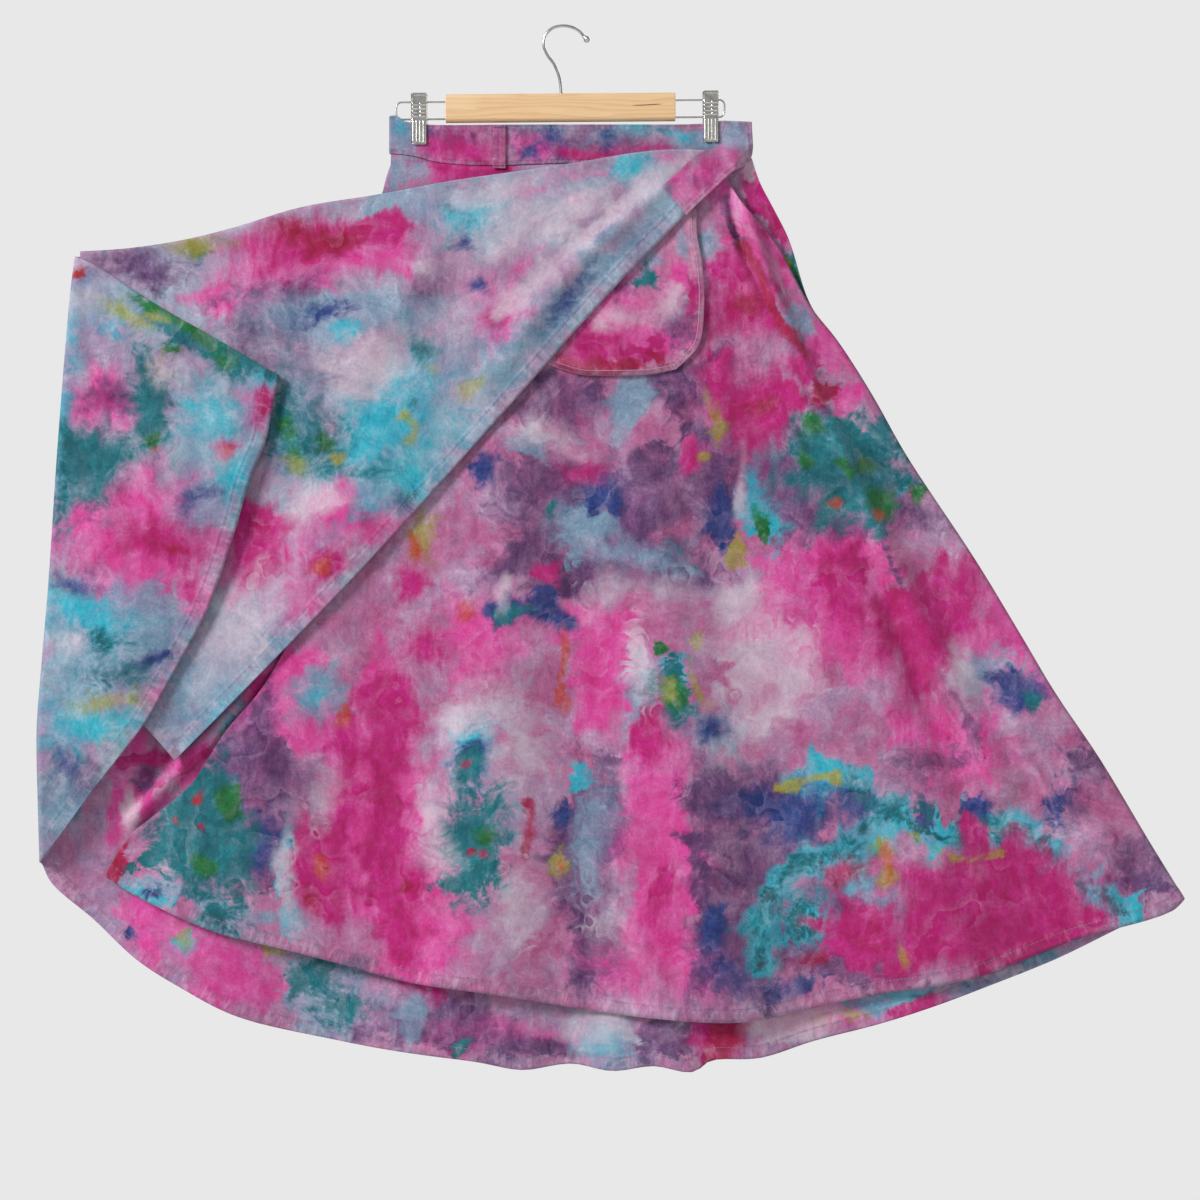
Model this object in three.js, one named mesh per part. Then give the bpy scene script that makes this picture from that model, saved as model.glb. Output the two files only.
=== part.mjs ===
// Wrap skirt hanging flat from a clip hanger. Millimetres, +Z up, the front faces -Y.
// The origin is the inner top of the hanger's hook, where a rail carries it.
import * as THREE from 'three';

// ---------------------------------------------------------------- sizes
const CLOTH = 1.4; // skirt cloth with its fullness
const HEM = 2.4; // the cloth where a hem doubles it
const HEM_WIDTH = 12;
const SEAM_GAP = 0.3;
const BAND = 2.4; // doubled waistband
const BAND_Y = 2.5; // each run's middle, either side of the clips' rails
const WAIST_Z = -137; // waist seam
const TILT = (0.45 * Math.PI) / 180; // the hanger hangs a little up to the right

const { sqrt, exp, cos, sin, hypot, min, max, PI } = Math;
const clamp = (x) => min(1, max(0, x));
const step = (a, b, x) => {
  const t = clamp((x - a) / (b - a));
  return t * t * (3 - 2 * t);
};
const mix = (a, b, t) => a + (b - a) * t;

// ---------------------------------------------------------------- outlines
// Each edge of a piece is a short table of points: x, z.
const edge = (rows) => {
  const curve = new THREE.CatmullRomCurve3(rows.map(([x, z]) => new THREE.Vector3(x, 0, z)), false, 'centripetal');
  curve.arcLengthDivisions = 400;
  return (t) => {
    const p = curve.getPointAt(clamp(t));
    return [p.x, p.z];
  };
};

const PINCH = [-488, -228]; // where the wrap's layers are drawn together

// Upper fold of the over front, from the pinch to below the waistband's end: x, z
const UPPER_FOLD = [
  [-484, -225], [-437, -222], [-383, -214], [-330, -201], [-264, -181], [-184, -168],
  [-115, -156], [-45, -146], [15, -137], [76, -127], [122, -124], [150, -128], [165, -145],
];
// Left fold, from the pinch down to the hem: x, z
const LEFT_FOLD = [
  [-489, -230], [-493, -262], [-499, -330], [-510, -474], [-516, -560], [-522, -640],
  [-526, -702], [-525, -770], [-524, -836],
];
// Right-hand side of the skirt, from the waistband down to the hem: x, z
const RIGHT_SIDE = [
  [188, -131], [196, -155], [209, -180], [225, -212], [247, -278], [274, -314], [308, -367],
  [343, -429], [412, -534], [459, -612], [491, -666], [536, -733], [585, -815], [620, -872],
];
// Waistband, upper edge and waist seam, left to right: x, z
const BAND_TOP = [
  [-174, -89], [-167, -89], [-160, -94], [-152, -96], [-134, -98], [-60, -97.8], [60, -97.6],
  [137, -97], [158, -94], [164, -94], [188, -95],
];
const BAND_SEAM = [
  [-174, -127], [-161, -128], [-144, -131], [-130, -135], [-104, -138], [-69, -139], [-4, -137],
  [100, -137], [150, -136], [176, -131], [188, -127],
];
const below = (rows) => rows.map(([x, z]) => [x, z - SEAM_GAP - 0.3]);
const BACK_TOP = [
  [-489, -230], [-437, -223], [-383, -215], [-330, -202], [-264, -182], [-215, -173], [-186, -164],
  [-177, -148], ...below(BAND_SEAM.slice(1)),
];
const BACK_HEM = [
  [-524, -836], [-514, -858], [-473, -895], [-430, -934], [-384, -962], [-324, -993], [-214, -1019],
  [-92, -1036], [-42, -1045], [8, -1040], [48, -1046], [91, -1041], [130, -1047], [148, -1036],
  [199, -1033], [249, -1018], [315, -1000], [414, -965], [497, -934], [567, -898], [620, -872],
];
const FRONT_TOP = [[-173, -127.6], ...below(BAND_SEAM.slice(1, 8)), [158, -137.6]];
const FRONT_LEFT = [
  [-173, -127.6], [-176, -200], [-190, -300], [-212, -420], [-246, -550], [-299, -658], [-339, -706],
  [-374, -759], [-415, -793], [-437, -811], [-451, -833], [-460, -851],
];
const FRONT_HEM = [
  [-460, -851], [-437, -865], [-410, -879], [-351, -904], [-264, -927], [-158, -955], [-72, -967],
  [8, -982], [91, -992], [182, -995], [249, -983], [315, -968], [414, -950], [514, -914], [607, -884],
  [620, -872],
];
// The under front's right edge is the bright fold beside the waistband's end, then the side: x, z
const FRONT_RIGHT = [
  [158, -137.6], [164, -152], [176, -174], [192, -193], [210, -214], [225, -240], [247, -280],
  ...RIGHT_SIDE.slice(5),
];
// Hemmed front edge of the over front: x, z
const OVER_EDGE = [
  [165, -145], [133, -175], [112, -199], [65, -247], [16, -300], [-31, -354], [-99, -430],
  [-156, -493], [-214, -556], [-265, -609], [-334, -679], [-389, -734],
];
const OVER_HIDDEN = [[-484, -225], [-476, -300], [-468, -420], [-460, -540], [-447, -640], [-430, -688]];
const OVER_HEM = [[-430, -688], [-419, -699], [-404, -716], [-389, -734]];
const SIDE_TOP = [[-489, -230], [-469, -239], [-405, -280], [-333, -321], [-283, -351]];
const SIDE_EDGE = [
  [-283, -351], [-289, -378], [-296, -415], [-312, -454], [-326, -502], [-342, -550], [-356, -586],
  [-374, -620], [-392, -652], [-419, -699], [-451, -740], [-473, -768], [-501, -806],
];
const SIDE_HEM = [[-524, -836], [-516, -828], [-501, -806]];

const nearest = (rows) => (x, z) => {
  let best = Infinity;
  for (let i = 1; i < rows.length; i++) {
    const [ax, az] = rows[i - 1];
    const [bx, bz] = rows[i];
    const t = clamp(((x - ax) * (bx - ax) + (z - az) * (bz - az)) / ((bx - ax) ** 2 + (bz - az) ** 2));
    best = min(best, hypot(x - mix(ax, bx, t), z - mix(az, bz, t)));
  }
  return best;
};
const toUpperFold = nearest(UPPER_FOLD);
const toOuterFold = nearest(UPPER_FOLD.filter(([x]) => x < -180));
const toLeftFold = nearest(LEFT_FOLD);
const toRightSide = nearest(RIGHT_SIDE);
const toFrontRight = nearest(FRONT_RIGHT);
const toSideTop = nearest(SIDE_TOP);
const toOverEdge = nearest(OVER_EDGE);

// ---------------------------------------------------------------- how the cloth hangs
// Soft ridges (+) and troughs (-) toward the front, each along a line that widens as it falls:
// x and z of its head, x and z of its foot, half width at head and foot, height at head and foot.
const FRONT_FOLDS = [
  [176, -165, 236, -374, 11, 20, 6, 7],
  [236, -374, 436, -760, 20, 34, 7, 8],
  [150, -200, 330, -800, 16, 46, -3, -5],
  [70, -440, 170, -960, 30, 42, 1, 6],
  [-60, -420, -60, -960, 36, 52, 3, 6],
  [-150, -620, -250, -920, 30, 48, 4, 6],
];
const BACK_FOLDS = [
  [60, -700, 148, -1045, 14, 20, 3, -8],
  [40, -800, 48, -1050, 20, 26, 2, 7],
  [-40, -800, -42, -1050, 22, 26, 2, 6],
];
const folds = (table, x, z) =>
  table.reduce((sum, [x0, z0, x1, z1, w0, w1, h0, h1]) => {
    const l2 = (x1 - x0) ** 2 + (z1 - z0) ** 2;
    const t = ((x - x0) * (x1 - x0) + (z - z0) * (z1 - z0)) / l2;
    const s = clamp(t);
    const d = hypot(x - mix(x0, x1, s), z - mix(z0, z1, s)) / mix(w0, w1, s);
    return sum - mix(h0, h1, s) * exp(-d * d);
  }, 0);

// The slow swing that all the layers share: radial waves that grow from the waist to the hem
const swing = (x, z) => {
  const angle = Math.atan2(x - 30, 230 - z);
  const fromPinch = step(30, 330, hypot(x - PINCH[0], z - PINCH[1]));
  return 7 * step(-200, -950, z) * fromPinch * cos(angle * 31 + 0.6);
};
// Layers lie closer together near the folds that join them
const closeness = (x, z) =>
  min(
    mix(0.4, 1, step(0, 200, hypot(x - PINCH[0], z - PINCH[1]))),
    mix(0.5, 1, step(0, 110, toLeftFold(x, z))),
    mix(0.5, 1, step(0, 90, toOuterFold(x, z))),
  );
// A fold's quarter round: the surface turns back by the radius at its edge
const quarter = (d, r) => (d >= r ? 0 : r - sqrt(r * r - (r - d) ** 2));

const backMid = (x, z) =>
  mix(BAND_Y, 6, max(step(WAIST_Z, -330, z), step(-175, -260, x))) * closeness(x, z) + swing(x, z);
const frontMid = (x, z) => -mix(BAND_Y, 4.5, step(WAIST_Z, -300, z)) + swing(x, z);
const overMid = (x, z) =>
  -mix(10, 13, step(165, 60, x)) * closeness(x, z) + swing(x, z) +
  1.6 * cos(toOverEdge(x, z) / 17) * step(20, 90, toLeftFold(x, z)) * step(-140, -320, z);
const sideMid = (x, z) => -21 * closeness(x, z) + swing(x, z);
// Where two layers meet round a fold, halfway between them, with room for the joint
const JOINT = 1.1;
const leftJoint = (x, z) => (backMid(x, z) + sideMid(x, z)) / 2;
const topJoint = (x, z) => (backMid(x, z) + overMid(x, z)) / 2;
const rightJoint = (x, z) => (backMid(x, z) + frontMid(x, z)) / 2;
const isOuter = (x) => step(-176, -206, x);

const backDepth = (x, z) => {
  const y = backMid(x, z) + folds(BACK_FOLDS, x, z);
  return y - max(
    quarter(toLeftFold(x, z), y - leftJoint(x, z) - JOINT / 2),
    isOuter(x) * quarter(toOuterFold(x, z), y - topJoint(x, z) - JOINT / 2),
    quarter(toRightSide(x, z), y - rightJoint(x, z) - JOINT),
  );
};
const frontDepth = (x, z) => {
  const clear = step(-200, -330, z);
  const y = frontMid(x, z) + folds(FRONT_FOLDS, x, z) * mix(1, step(8, 70, toRightSide(x, z)), clear);
  return y + quarter(toFrontRight(x, z), mix(2, rightJoint(x, z) - y - JOINT, clear));
};
const overDepth = (x, z) => {
  const y = overMid(x, z);
  return y + quarter(toUpperFold(x, z), mix(1.6, topJoint(x, z) - y - JOINT / 2, isOuter(x)));
};
const sideDepth = (x, z) => {
  const y = sideMid(x, z);
  const r = leftJoint(x, z) - y - JOINT / 2;
  return y + max(quarter(toLeftFold(x, z), r), quarter(toSideTop(x, z), 1));
};
const pocketDepth = (x, z) => frontDepth(x, z) - 2.7;

// ---------------------------------------------------------------- builders
const looks = (color, roughness, metalness = 0) => new THREE.MeshStandardMaterial({ color, roughness, metalness });
const root = new THREE.Group();
const hanger = new THREE.Group();
hanger.rotation.y = -TILT;
root.add(hanger);

const piece = (name, geometry, material, group = root) => {
  const mesh = new THREE.Mesh(geometry, material);
  mesh.name = name;
  group.add(mesh);
  return mesh;
};

// A sheet of cloth between four edges. depth gives its middle, wall its thickness.
const sheet = (name, { top, bottom, left, right, cols, rows, depth, wall, us, vs, material }) => {
  const [T, B, L, R] = [top, bottom, left, right].map(edge);
  const [tl, tr, bl, br] = [T(0), T(1), B(0), B(1)];
  const place = (i, j) => {
    const u = us(clamp(i / cols));
    const v = vs(clamp(j / rows));
    const [t, b, l, r] = [T(u), B(u), L(v), R(v)];
    return [0, 1].map(
      (k) =>
        (1 - v) * t[k] + v * b[k] + (1 - u) * l[k] + u * r[k] -
        ((1 - u) * ((1 - v) * tl[k] + v * bl[k]) + u * ((1 - v) * tr[k] + v * br[k])),
    );
  };
  const mid = [];
  for (let j = 0; j <= rows; j++)
    for (let i = 0; i <= cols; i++) {
      const [x, z] = place(i, j);
      mid.push(new THREE.Vector3(x, depth(x, z), z));
    }
  const at = (i, j) => mid[min(rows, max(0, j)) * (cols + 1) + min(cols, max(0, i))];
  const front = [];
  const back = [];
  for (let j = 0; j <= rows; j++)
    for (let i = 0; i <= cols; i++) {
      const du = at(i + 1, j).clone().sub(at(i - 1, j));
      const dv = at(i, j + 1).clone().sub(at(i, j - 1));
      const n = dv.cross(du).normalize().multiplyScalar(wall(at(i, j).x, at(i, j).z) / 2);
      front.push(at(i, j).clone().add(n).toArray());
      back.push(at(i, j).clone().sub(n).toArray());
    }
  const count = front.length;
  const f = (i, j) => j * (cols + 1) + i;
  const b = (i, j) => count + f(i, j);
  const faces = [];
  for (let j = 0; j < rows; j++)
    for (let i = 0; i < cols; i++) {
      faces.push([f(i, j), f(i, j + 1), f(i + 1, j)], [f(i + 1, j), f(i, j + 1), f(i + 1, j + 1)]);
      faces.push([b(i, j), b(i + 1, j), b(i, j + 1)], [b(i + 1, j), b(i + 1, j + 1), b(i, j + 1)]);
    }
  for (let i = 0; i < cols; i++) {
    faces.push([f(i, 0), f(i + 1, 0), b(i + 1, 0)], [f(i, 0), b(i + 1, 0), b(i, 0)]);
    faces.push([f(i, rows), b(i + 1, rows), f(i + 1, rows)], [f(i, rows), b(i, rows), b(i + 1, rows)]);
  }
  for (let j = 0; j < rows; j++) {
    faces.push([f(0, j), b(0, j), b(0, j + 1)], [f(0, j), b(0, j + 1), f(0, j + 1)]);
    faces.push([f(cols, j), b(cols, j + 1), b(cols, j)], [f(cols, j), f(cols, j + 1), b(cols, j + 1)]);
  }
  const geometry = new THREE.BufferGeometry();
  geometry.setAttribute('position', new THREE.Float32BufferAttribute(front.concat(back).flat(), 3));
  geometry.setIndex(faces.flat());
  geometry.computeVertexNormals();
  return piece(name, geometry, material);
};
const even = (s) => s;
const nearTop = (s) => s * s * (1.35 - 0.35 * s);
const nearEnds = (s) => 0.5 - 0.5 * cos(PI * s);
const hemmed = (toHem) => (x, z) => mix(HEM, CLOTH, step(HEM_WIDTH - 2, HEM_WIDTH + 2, toHem(x, z)));

// A wire: a round section drawn along a path
const wire = (name, path, radius, steps, sides, material) => {
  const section = new THREE.Shape().absarc(0, 0, radius, 0, 2 * PI, false);
  const options = { extrudePath: path, steps, curveSegments: sides / 2, bevelEnabled: false };
  return piece(name, new THREE.ExtrudeGeometry(section, options), material, hanger);
};

// A bar or plate: an outline in the Y-Z plane carried from x0 to x1
const plate = (name, outline, x0, x1, material) => {
  const body = new THREE.ExtrudeGeometry(outline, { depth: x1 - x0, bevelEnabled: false, curveSegments: 4 });
  body.rotateX(PI / 2).rotateZ(PI / 2);
  const mesh = piece(name, body, material, hanger);
  mesh.position.x = x0;
  return mesh;
};

// ---------------------------------------------------------------- the skirt
const dyed = looks('#b58ba8', 0.9);
const dyedInside = looks('#c9a6bd', 0.92);

sheet('back_panel', {
  top: BACK_TOP, bottom: BACK_HEM, left: LEFT_FOLD, right: RIGHT_SIDE,
  cols: 28, rows: 22, us: nearEnds, vs: nearTop, depth: backDepth, wall: hemmed(nearest(BACK_HEM)),
  material: dyedInside,
});
sheet('front_panel', {
  top: FRONT_TOP, bottom: FRONT_HEM, left: FRONT_LEFT, right: FRONT_RIGHT,
  cols: 26, rows: 24, us: nearEnds, vs: even, depth: frontDepth, wall: hemmed(nearest(FRONT_HEM)),
  material: dyed,
});
sheet('over_front', {
  top: UPPER_FOLD, bottom: OVER_HEM, left: OVER_HIDDEN, right: OVER_EDGE,
  cols: 24, rows: 22, us: even, vs: nearTop, depth: overDepth,
  wall: hemmed((x, z) => min(toOverEdge(x, z), nearest(OVER_HEM)(x, z))), material: dyedInside,
});
sheet('side_turn', {
  top: SIDE_TOP, bottom: SIDE_HEM, left: LEFT_FOLD, right: SIDE_EDGE,
  cols: 16, rows: 20, us: (s) => s * s * (1.2 - 0.2 * s), vs: nearTop, depth: sideDepth,
  wall: hemmed(nearest(SIDE_EDGE)), material: dyed,
});

// Waistband: its two runs meet round the left end, and its free end is folded over at the right
const bandWall = () => BAND;
const toLeftEnd = (x) => x + 174;
const run = (name, sign) =>
  sheet(name, {
    top: BAND_TOP, bottom: BAND_SEAM, left: [[-174, -89], [-174, -127]], right: [[188, -95], [188, -127]],
    cols: 30, rows: 3, us: (s) => s * s * (1.4 - 0.4 * s), vs: even,
    depth: (x) => sign * (BAND_Y - quarter(toLeftEnd(x), BAND_Y - JOINT / 2)), wall: bandWall, material: dyed,
  });
run('waistband_front', -1);
run('waistband_back', 1);
sheet('waistband_end', {
  top: [[164, -95], [188, -96]],
  right: [[188, -96], [188, -128], [182, -137], [168, -146]],
  left: [[164, -95], [159, -107], [157, -119], [134, -129], [116, -145], [98, -162]],
  bottom: [[98, -162], [106, -167], [136, -156], [168, -146]],
  cols: 5, rows: 9, us: even, vs: even, depth: (x, z) => -5.3 - 0.6 * step(-122, -145, z), wall: () => 1.6, material: dyed,
});
sheet('belt_loop', {
  top: [[-71, -98.6], [-58, -98.6]], bottom: [[-71, -142], [-58, -142]],
  left: [[-71, -98.6], [-71, -142]], right: [[-58, -98.6], [-58, -142]],
  cols: 3, rows: 8, us: even, vs: even, wall: () => 1.6, material: dyed,
  depth: (x, z) => -4.9 - 0.9 * sin(PI * clamp((-98.6 - z) / 43.4)),
});
sheet('pocket_bag', {
  top: [[20, -176], [70, -178], [130, -176]],
  bottom: [[-16, -338], [16, -348], [36, -349], [85, -348], [112, -343]],
  left: [[20, -176], [0, -260], [-16, -338]],
  right: [[130, -176], [132, -184], [133, -209], [138, -237], [140, -280], [135, -318], [123, -333], [112, -343]],
  cols: 9, rows: 10, us: even, vs: even, wall: () => 2, depth: pocketDepth, material: dyedInside,
});

// ---------------------------------------------------------------- the hanger
const pine = looks('#d9b48a', 0.55);
const steel = looks('#b9b6b0', 0.32, 1);
const BAR = { left: -119, right: 111, top: -66.6, bottom: -94.8, thick: 12, round: 4.5 };
const HOOK_WIRE = 1.5; // radius
const HOOK_BALL = 3.3; // radius
const RAIL = { radius: 0.9, upper: -74, lower: -91.1, out: 49, corner: 5 };
const CLIP = { width: 16, top: -65.5, bottom: -117, inner: 4.1, sheet: 1, ridge: 1 };
const SPRING = { radius: 2.3, wire: 0.45, turns: 4, length: 9 };

const barOutline = new THREE.Shape();
const [flat, high, low] = [BAR.thick / 2 - BAR.round, BAR.top - BAR.round, BAR.bottom + BAR.round];
barOutline.absarc(flat, high, BAR.round, 0, PI / 2);
barOutline.absarc(-flat, high, BAR.round, PI / 2, PI);
barOutline.absarc(-flat, low, BAR.round, PI, 1.5 * PI);
barOutline.absarc(flat, low, BAR.round, 1.5 * PI, 2 * PI);
plate('hanger_bar', barOutline, BAR.left, BAR.right, pine);

// The wire's middle, from the bar up round the top and down to the ball: x, z
const HOOK = [
  [-3, BAR.top + SEAM_GAP], [-5, -50], [-10, -37], [-17, -27], [-20.4, -17], [-18, -7], [-11, -0.6],
  [0, HOOK_WIRE], [10, -0.8], [17, -5.4], [20, -9.2],
];
const path = (rows) => new THREE.CatmullRomCurve3(rows.map(([x, z]) => new THREE.Vector3(x, 0, z)));
wire('hanger_hook', path(HOOK), HOOK_WIRE, 36, 12, steel);
piece('hook_ball', new THREE.SphereGeometry(HOOK_BALL, 16, 10), steel, hanger).position.set(23, 0, -12.3);

// Each end's rail: a wire loop that stands out of the bar's end, with two round corners
const rail = (name, x0, way) => {
  const { upper, lower, out, corner } = RAIL;
  const far = x0 + way * out;
  const rows = [[x0, upper], [x0 + way * 15, upper], [far - way * 3 * corner, upper]];
  for (const [z, turn] of [[upper - corner, 90], [lower + corner, 0]])
    for (const a of [turn, turn - 30, turn - 60, turn - 90].map((degrees) => (degrees * PI) / 180))
      rows.push([far + way * corner * (cos(a) - 1), z + corner * sin(a)]);
  rows.push([far - way * 3 * corner, lower], [x0 + way * 15, lower], [x0, lower]);
  wire(name, path(rows), RAIL.radius, 30, 8, steel);
};
rail('rail_left', BAR.left - SEAM_GAP, -1);
rail('rail_right', BAR.right + SEAM_GAP, 1);

// Clip jaws: pressed plates with a turned lip, four cross ridges and a thick lower end
const jaw = (name, x0, sign) => {
  const face = CLIP.inner + CLIP.sheet;
  const outer = face + CLIP.ridge;
  const rows = [[CLIP.inner, CLIP.top], [CLIP.inner, CLIP.bottom], [face, CLIP.bottom], [outer, CLIP.bottom + 2]];
  rows.push([outer, -93], [face, -91.5]);
  for (const z of [-88.5, -84.6, -80.7, -76.8])
    rows.push([face, z - 1.4], [outer, z - 0.4], [outer, z + 0.6], [face, z + 1.6]);
  rows.push([face, CLIP.top - 3], [outer, CLIP.top]);
  const outline = new THREE.Shape(rows.map(([y, z]) => new THREE.Vector2(sign * y, z)));
  plate(name, outline, x0, x0 + CLIP.width, steel);
};
class Coil extends THREE.Curve {
  constructor(x0) {
    super();
    this.x0 = x0;
  }
  getPoint(t, target = new THREE.Vector3()) {
    const a = 2 * PI * SPRING.turns * t;
    const { radius, length } = SPRING;
    return target.set(this.x0 + length * t, radius * sin(a), RAIL.lower + radius * cos(a));
  }
}
for (const [side, x0] of [['left', -153.5], ['right', 138.5]]) {
  jaw(`clip_${side}_front`, x0, -1);
  jaw(`clip_${side}_back`, x0, 1);
  wire(`spring_${side}`, new Coil(x0 + (CLIP.width - SPRING.length) / 2), SPRING.wire, 36, 6, steel);
}

// ---------------------------------------------------------------- part
export default root;
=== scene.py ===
import math

import bmesh
import bpy
import numpy as np
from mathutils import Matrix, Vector


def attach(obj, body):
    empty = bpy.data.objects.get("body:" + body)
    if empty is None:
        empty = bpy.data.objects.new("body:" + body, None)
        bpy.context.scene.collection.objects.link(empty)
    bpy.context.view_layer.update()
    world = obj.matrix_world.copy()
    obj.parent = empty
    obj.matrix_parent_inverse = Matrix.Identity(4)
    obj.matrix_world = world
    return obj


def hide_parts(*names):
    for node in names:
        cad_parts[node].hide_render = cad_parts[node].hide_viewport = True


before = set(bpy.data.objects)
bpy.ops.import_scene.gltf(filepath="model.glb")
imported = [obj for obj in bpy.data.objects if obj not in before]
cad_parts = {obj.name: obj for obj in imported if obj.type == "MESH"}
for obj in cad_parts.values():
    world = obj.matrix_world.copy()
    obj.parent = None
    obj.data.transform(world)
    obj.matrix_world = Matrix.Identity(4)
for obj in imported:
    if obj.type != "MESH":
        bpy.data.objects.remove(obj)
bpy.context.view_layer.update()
scene = bpy.context.scene


# ------------------------------------------------------------ camera
# A long lens square to the skirt, level with the middle of its height.
VIEW_WIDTH, LENS, SENSOR = 1.2, 85, 36
MIDDLE = (0.0362, -0.005, -0.5737)  # of what the camera sees
camera = bpy.data.objects.new("camera", bpy.data.cameras.new("camera"))
camera.data.lens, camera.data.sensor_width = LENS, SENSOR
camera.location = (MIDDLE[0], MIDDLE[1] - VIEW_WIDTH * LENS / SENSOR, MIDDLE[2])
camera.rotation_euler = (math.pi / 2, 0, 0)
scene.collection.objects.link(camera)
scene.camera = camera


# ------------------------------------------------------------ back panel
# The large flared rear of the wrap, thin dyed cotton with a narrow turned hem. It hangs from
# the waist seam, and its two sides turn forward round soft folds.
MM = 0.001
SEAM_GAP = 0.3
JOINT = 0.7  # between the middles of two layers that meet round a fold
BAND_Y = 2.5  # each run of the waistband, either side of the clips' rails
WAIST_Z = -137
PINCH = (-488, -228)  # where the wrap's layers are drawn together


def below(rows):
    return [(x, z - SEAM_GAP - 0.3) for x, z in rows]


BAND_SEAM = [
    (-174, -127), (-161, -128), (-144, -131), (-130, -135), (-104, -138), (-69, -139), (-4, -137),
    (100, -137), (150, -136), (176, -131), (188, -127),
]
UPPER_FOLD = [
    (-484, -225), (-437, -222), (-383, -214), (-330, -201), (-264, -181), (-184, -168),
    (-115, -156), (-45, -146), (15, -137), (76, -127), (122, -124), (150, -128), (165, -145),
]
LEFT_FOLD = [
    (-489, -230), (-493, -262), (-499, -330), (-510, -474), (-516, -560), (-522, -640),
    (-526, -702), (-525, -770), (-524, -836),
]
RIGHT_SIDE = [
    (188, -131), (196, -155), (209, -180), (225, -212), (247, -278), (274, -314), (308, -367),
    (343, -429), (412, -534), (459, -612), (491, -666), (536, -733), (585, -815), (620, -872),
]
BACK_TOP = [
    (-489, -230), (-437, -223), (-383, -215), (-330, -202), (-264, -182), (-215, -173.5), (-191, -169.5),
    (-183, -166.5), (-180.5, -158), (-176, -142), (-170, -130), *below(BAND_SEAM[1:]),
]
BACK_HEM = [
    (-524, -836), (-514, -858), (-473, -895), (-430, -934), (-384, -962), (-324, -993), (-214, -1019),
    (-92, -1036), (-42, -1045), (8, -1040), (48, -1046), (91, -1041), (130, -1047), (148, -1036),
    (199, -1033), (249, -1018), (315, -1000), (414, -965), (497, -934), (567, -898), (620, -872),
]
FRONT_RIGHT = [
    (158, -137.6), (164, -152), (176, -174), (192, -193), (210, -214), (225, -240), (247, -280),
    *RIGHT_SIDE[5:],
]
OVER_EDGE = [
    (165, -145), (133, -175), (112, -199), (65, -247), (16, -300), (-31, -354), (-99, -430),
    (-156, -493), (-214, -556), (-265, -609), (-334, -679), (-389, -734),
]
SIDE_TOP = [(-489, -230), (-469, -239), (-405, -280), (-333, -321), (-283, -351)]


def clamp(x):
    return np.clip(x, 0, 1)


def step(a, b, x):
    t = clamp((x - a) / (b - a))
    return t * t * (3 - 2 * t)


def mix(a, b, t):
    return a + (b - a) * t


def smooth_line(rows):
    """An edge's points with rounded ones between them."""
    p = np.array(rows, float)
    p = np.vstack([2 * p[0] - p[1], p, 2 * p[-1] - p[-2]])
    fine = []
    for four in zip(p, p[1:], p[2:], p[3:]):
        k = np.cumsum([0] + [np.hypot(*(b - a)) ** 0.5 for a, b in zip(four, four[1:])])
        t = np.linspace(k[1], k[2], 6, endpoint=False)[:, None]

        def between(a, b, i, j):
            return ((k[j] - t) * a + (t - k[i]) * b) / (k[j] - k[i])

        near = [between(four[i], four[i + 1], i, i + 1) for i in range(3)]
        middle = [between(near[i], near[i + 1], i, i + 2) for i in range(2)]
        fine.append(between(*middle, 1, 2))
    return np.vstack(fine + [p[-2:-1]])


def run_of(line):
    return np.concatenate([[0], np.cumsum(np.hypot(*np.diff(line, axis=0).T))])


def along(line, share):
    """x and z at a share of the way along a line."""
    run = run_of(line)
    return np.stack([np.interp(share * run[-1], run, line[:, k]) for k in (0, 1)])


LINES = {
    "upper_fold": smooth_line(UPPER_FOLD),
    "outer_fold": smooth_line([p for p in UPPER_FOLD if p[0] < -180]),
    "left_fold": smooth_line(LEFT_FOLD),
    "right_side": smooth_line(RIGHT_SIDE),
    "front_right": smooth_line(FRONT_RIGHT),
    "side_top": smooth_line(SIDE_TOP),
    "over_edge": smooth_line(OVER_EDGE),
    "back_hem": smooth_line(BACK_HEM),
}


class Spots:
    """Points on the flat cloth, in mm, which remember how far they are from each line."""

    def __init__(self, x, z):
        self.x, self.z, self.found = np.asarray(x, float), np.asarray(z, float), {}

    def from_line(self, line):
        """Distance to a line, and the run along it at the nearest point."""
        best, run = np.full(self.x.shape, np.inf), np.zeros(self.x.shape)
        for (ax, az), (bx, bz), start in zip(line, line[1:], run_of(line)):
            length = max(1e-9, math.hypot(bx - ax, bz - az))
            t = clamp(((self.x - ax) * (bx - ax) + (self.z - az) * (bz - az)) / length**2)
            away = np.hypot(self.x - mix(ax, bx, t), self.z - mix(az, bz, t))
            run = np.where(away < best, start + length * t, run)
            best = np.minimum(best, away)
        return best, run

    def nearest(self, name):
        if name not in self.found:
            self.found[name] = self.from_line(LINES[name])
        return self.found[name]

    def to(self, name):
        return self.nearest(name)[0]

    def to_pinch(self):
        return np.hypot(self.x - PINCH[0], self.z - PINCH[1])


def folds(table, at):
    """Soft ridges (+) and troughs (-) toward the front: x and z of the head and of the foot,
    half width at head and foot, height at head and foot. A row that starts at the last one's
    foot carries the same fold on."""
    y, last, foot = 0, 0, None
    for x0, z0, x1, z1, w0, w1, h0, h1 in table:
        t = ((at.x - x0) * (x1 - x0) + (at.z - z0) * (z1 - z0)) / ((x1 - x0) ** 2 + (z1 - z0) ** 2)
        s = clamp(t)
        d = np.hypot(at.x - mix(x0, x1, s), at.z - mix(z0, z1, s)) / mix(w0, w1, s)
        rise = mix(h0, h1, s) * np.exp(-d * d)
        last = last if (x0, z0) == foot else 0
        more = np.where(abs(rise) > abs(last), rise - last, 0)
        y, last, foot = y - more, last + more, (x1, z1)
    return y


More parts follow.
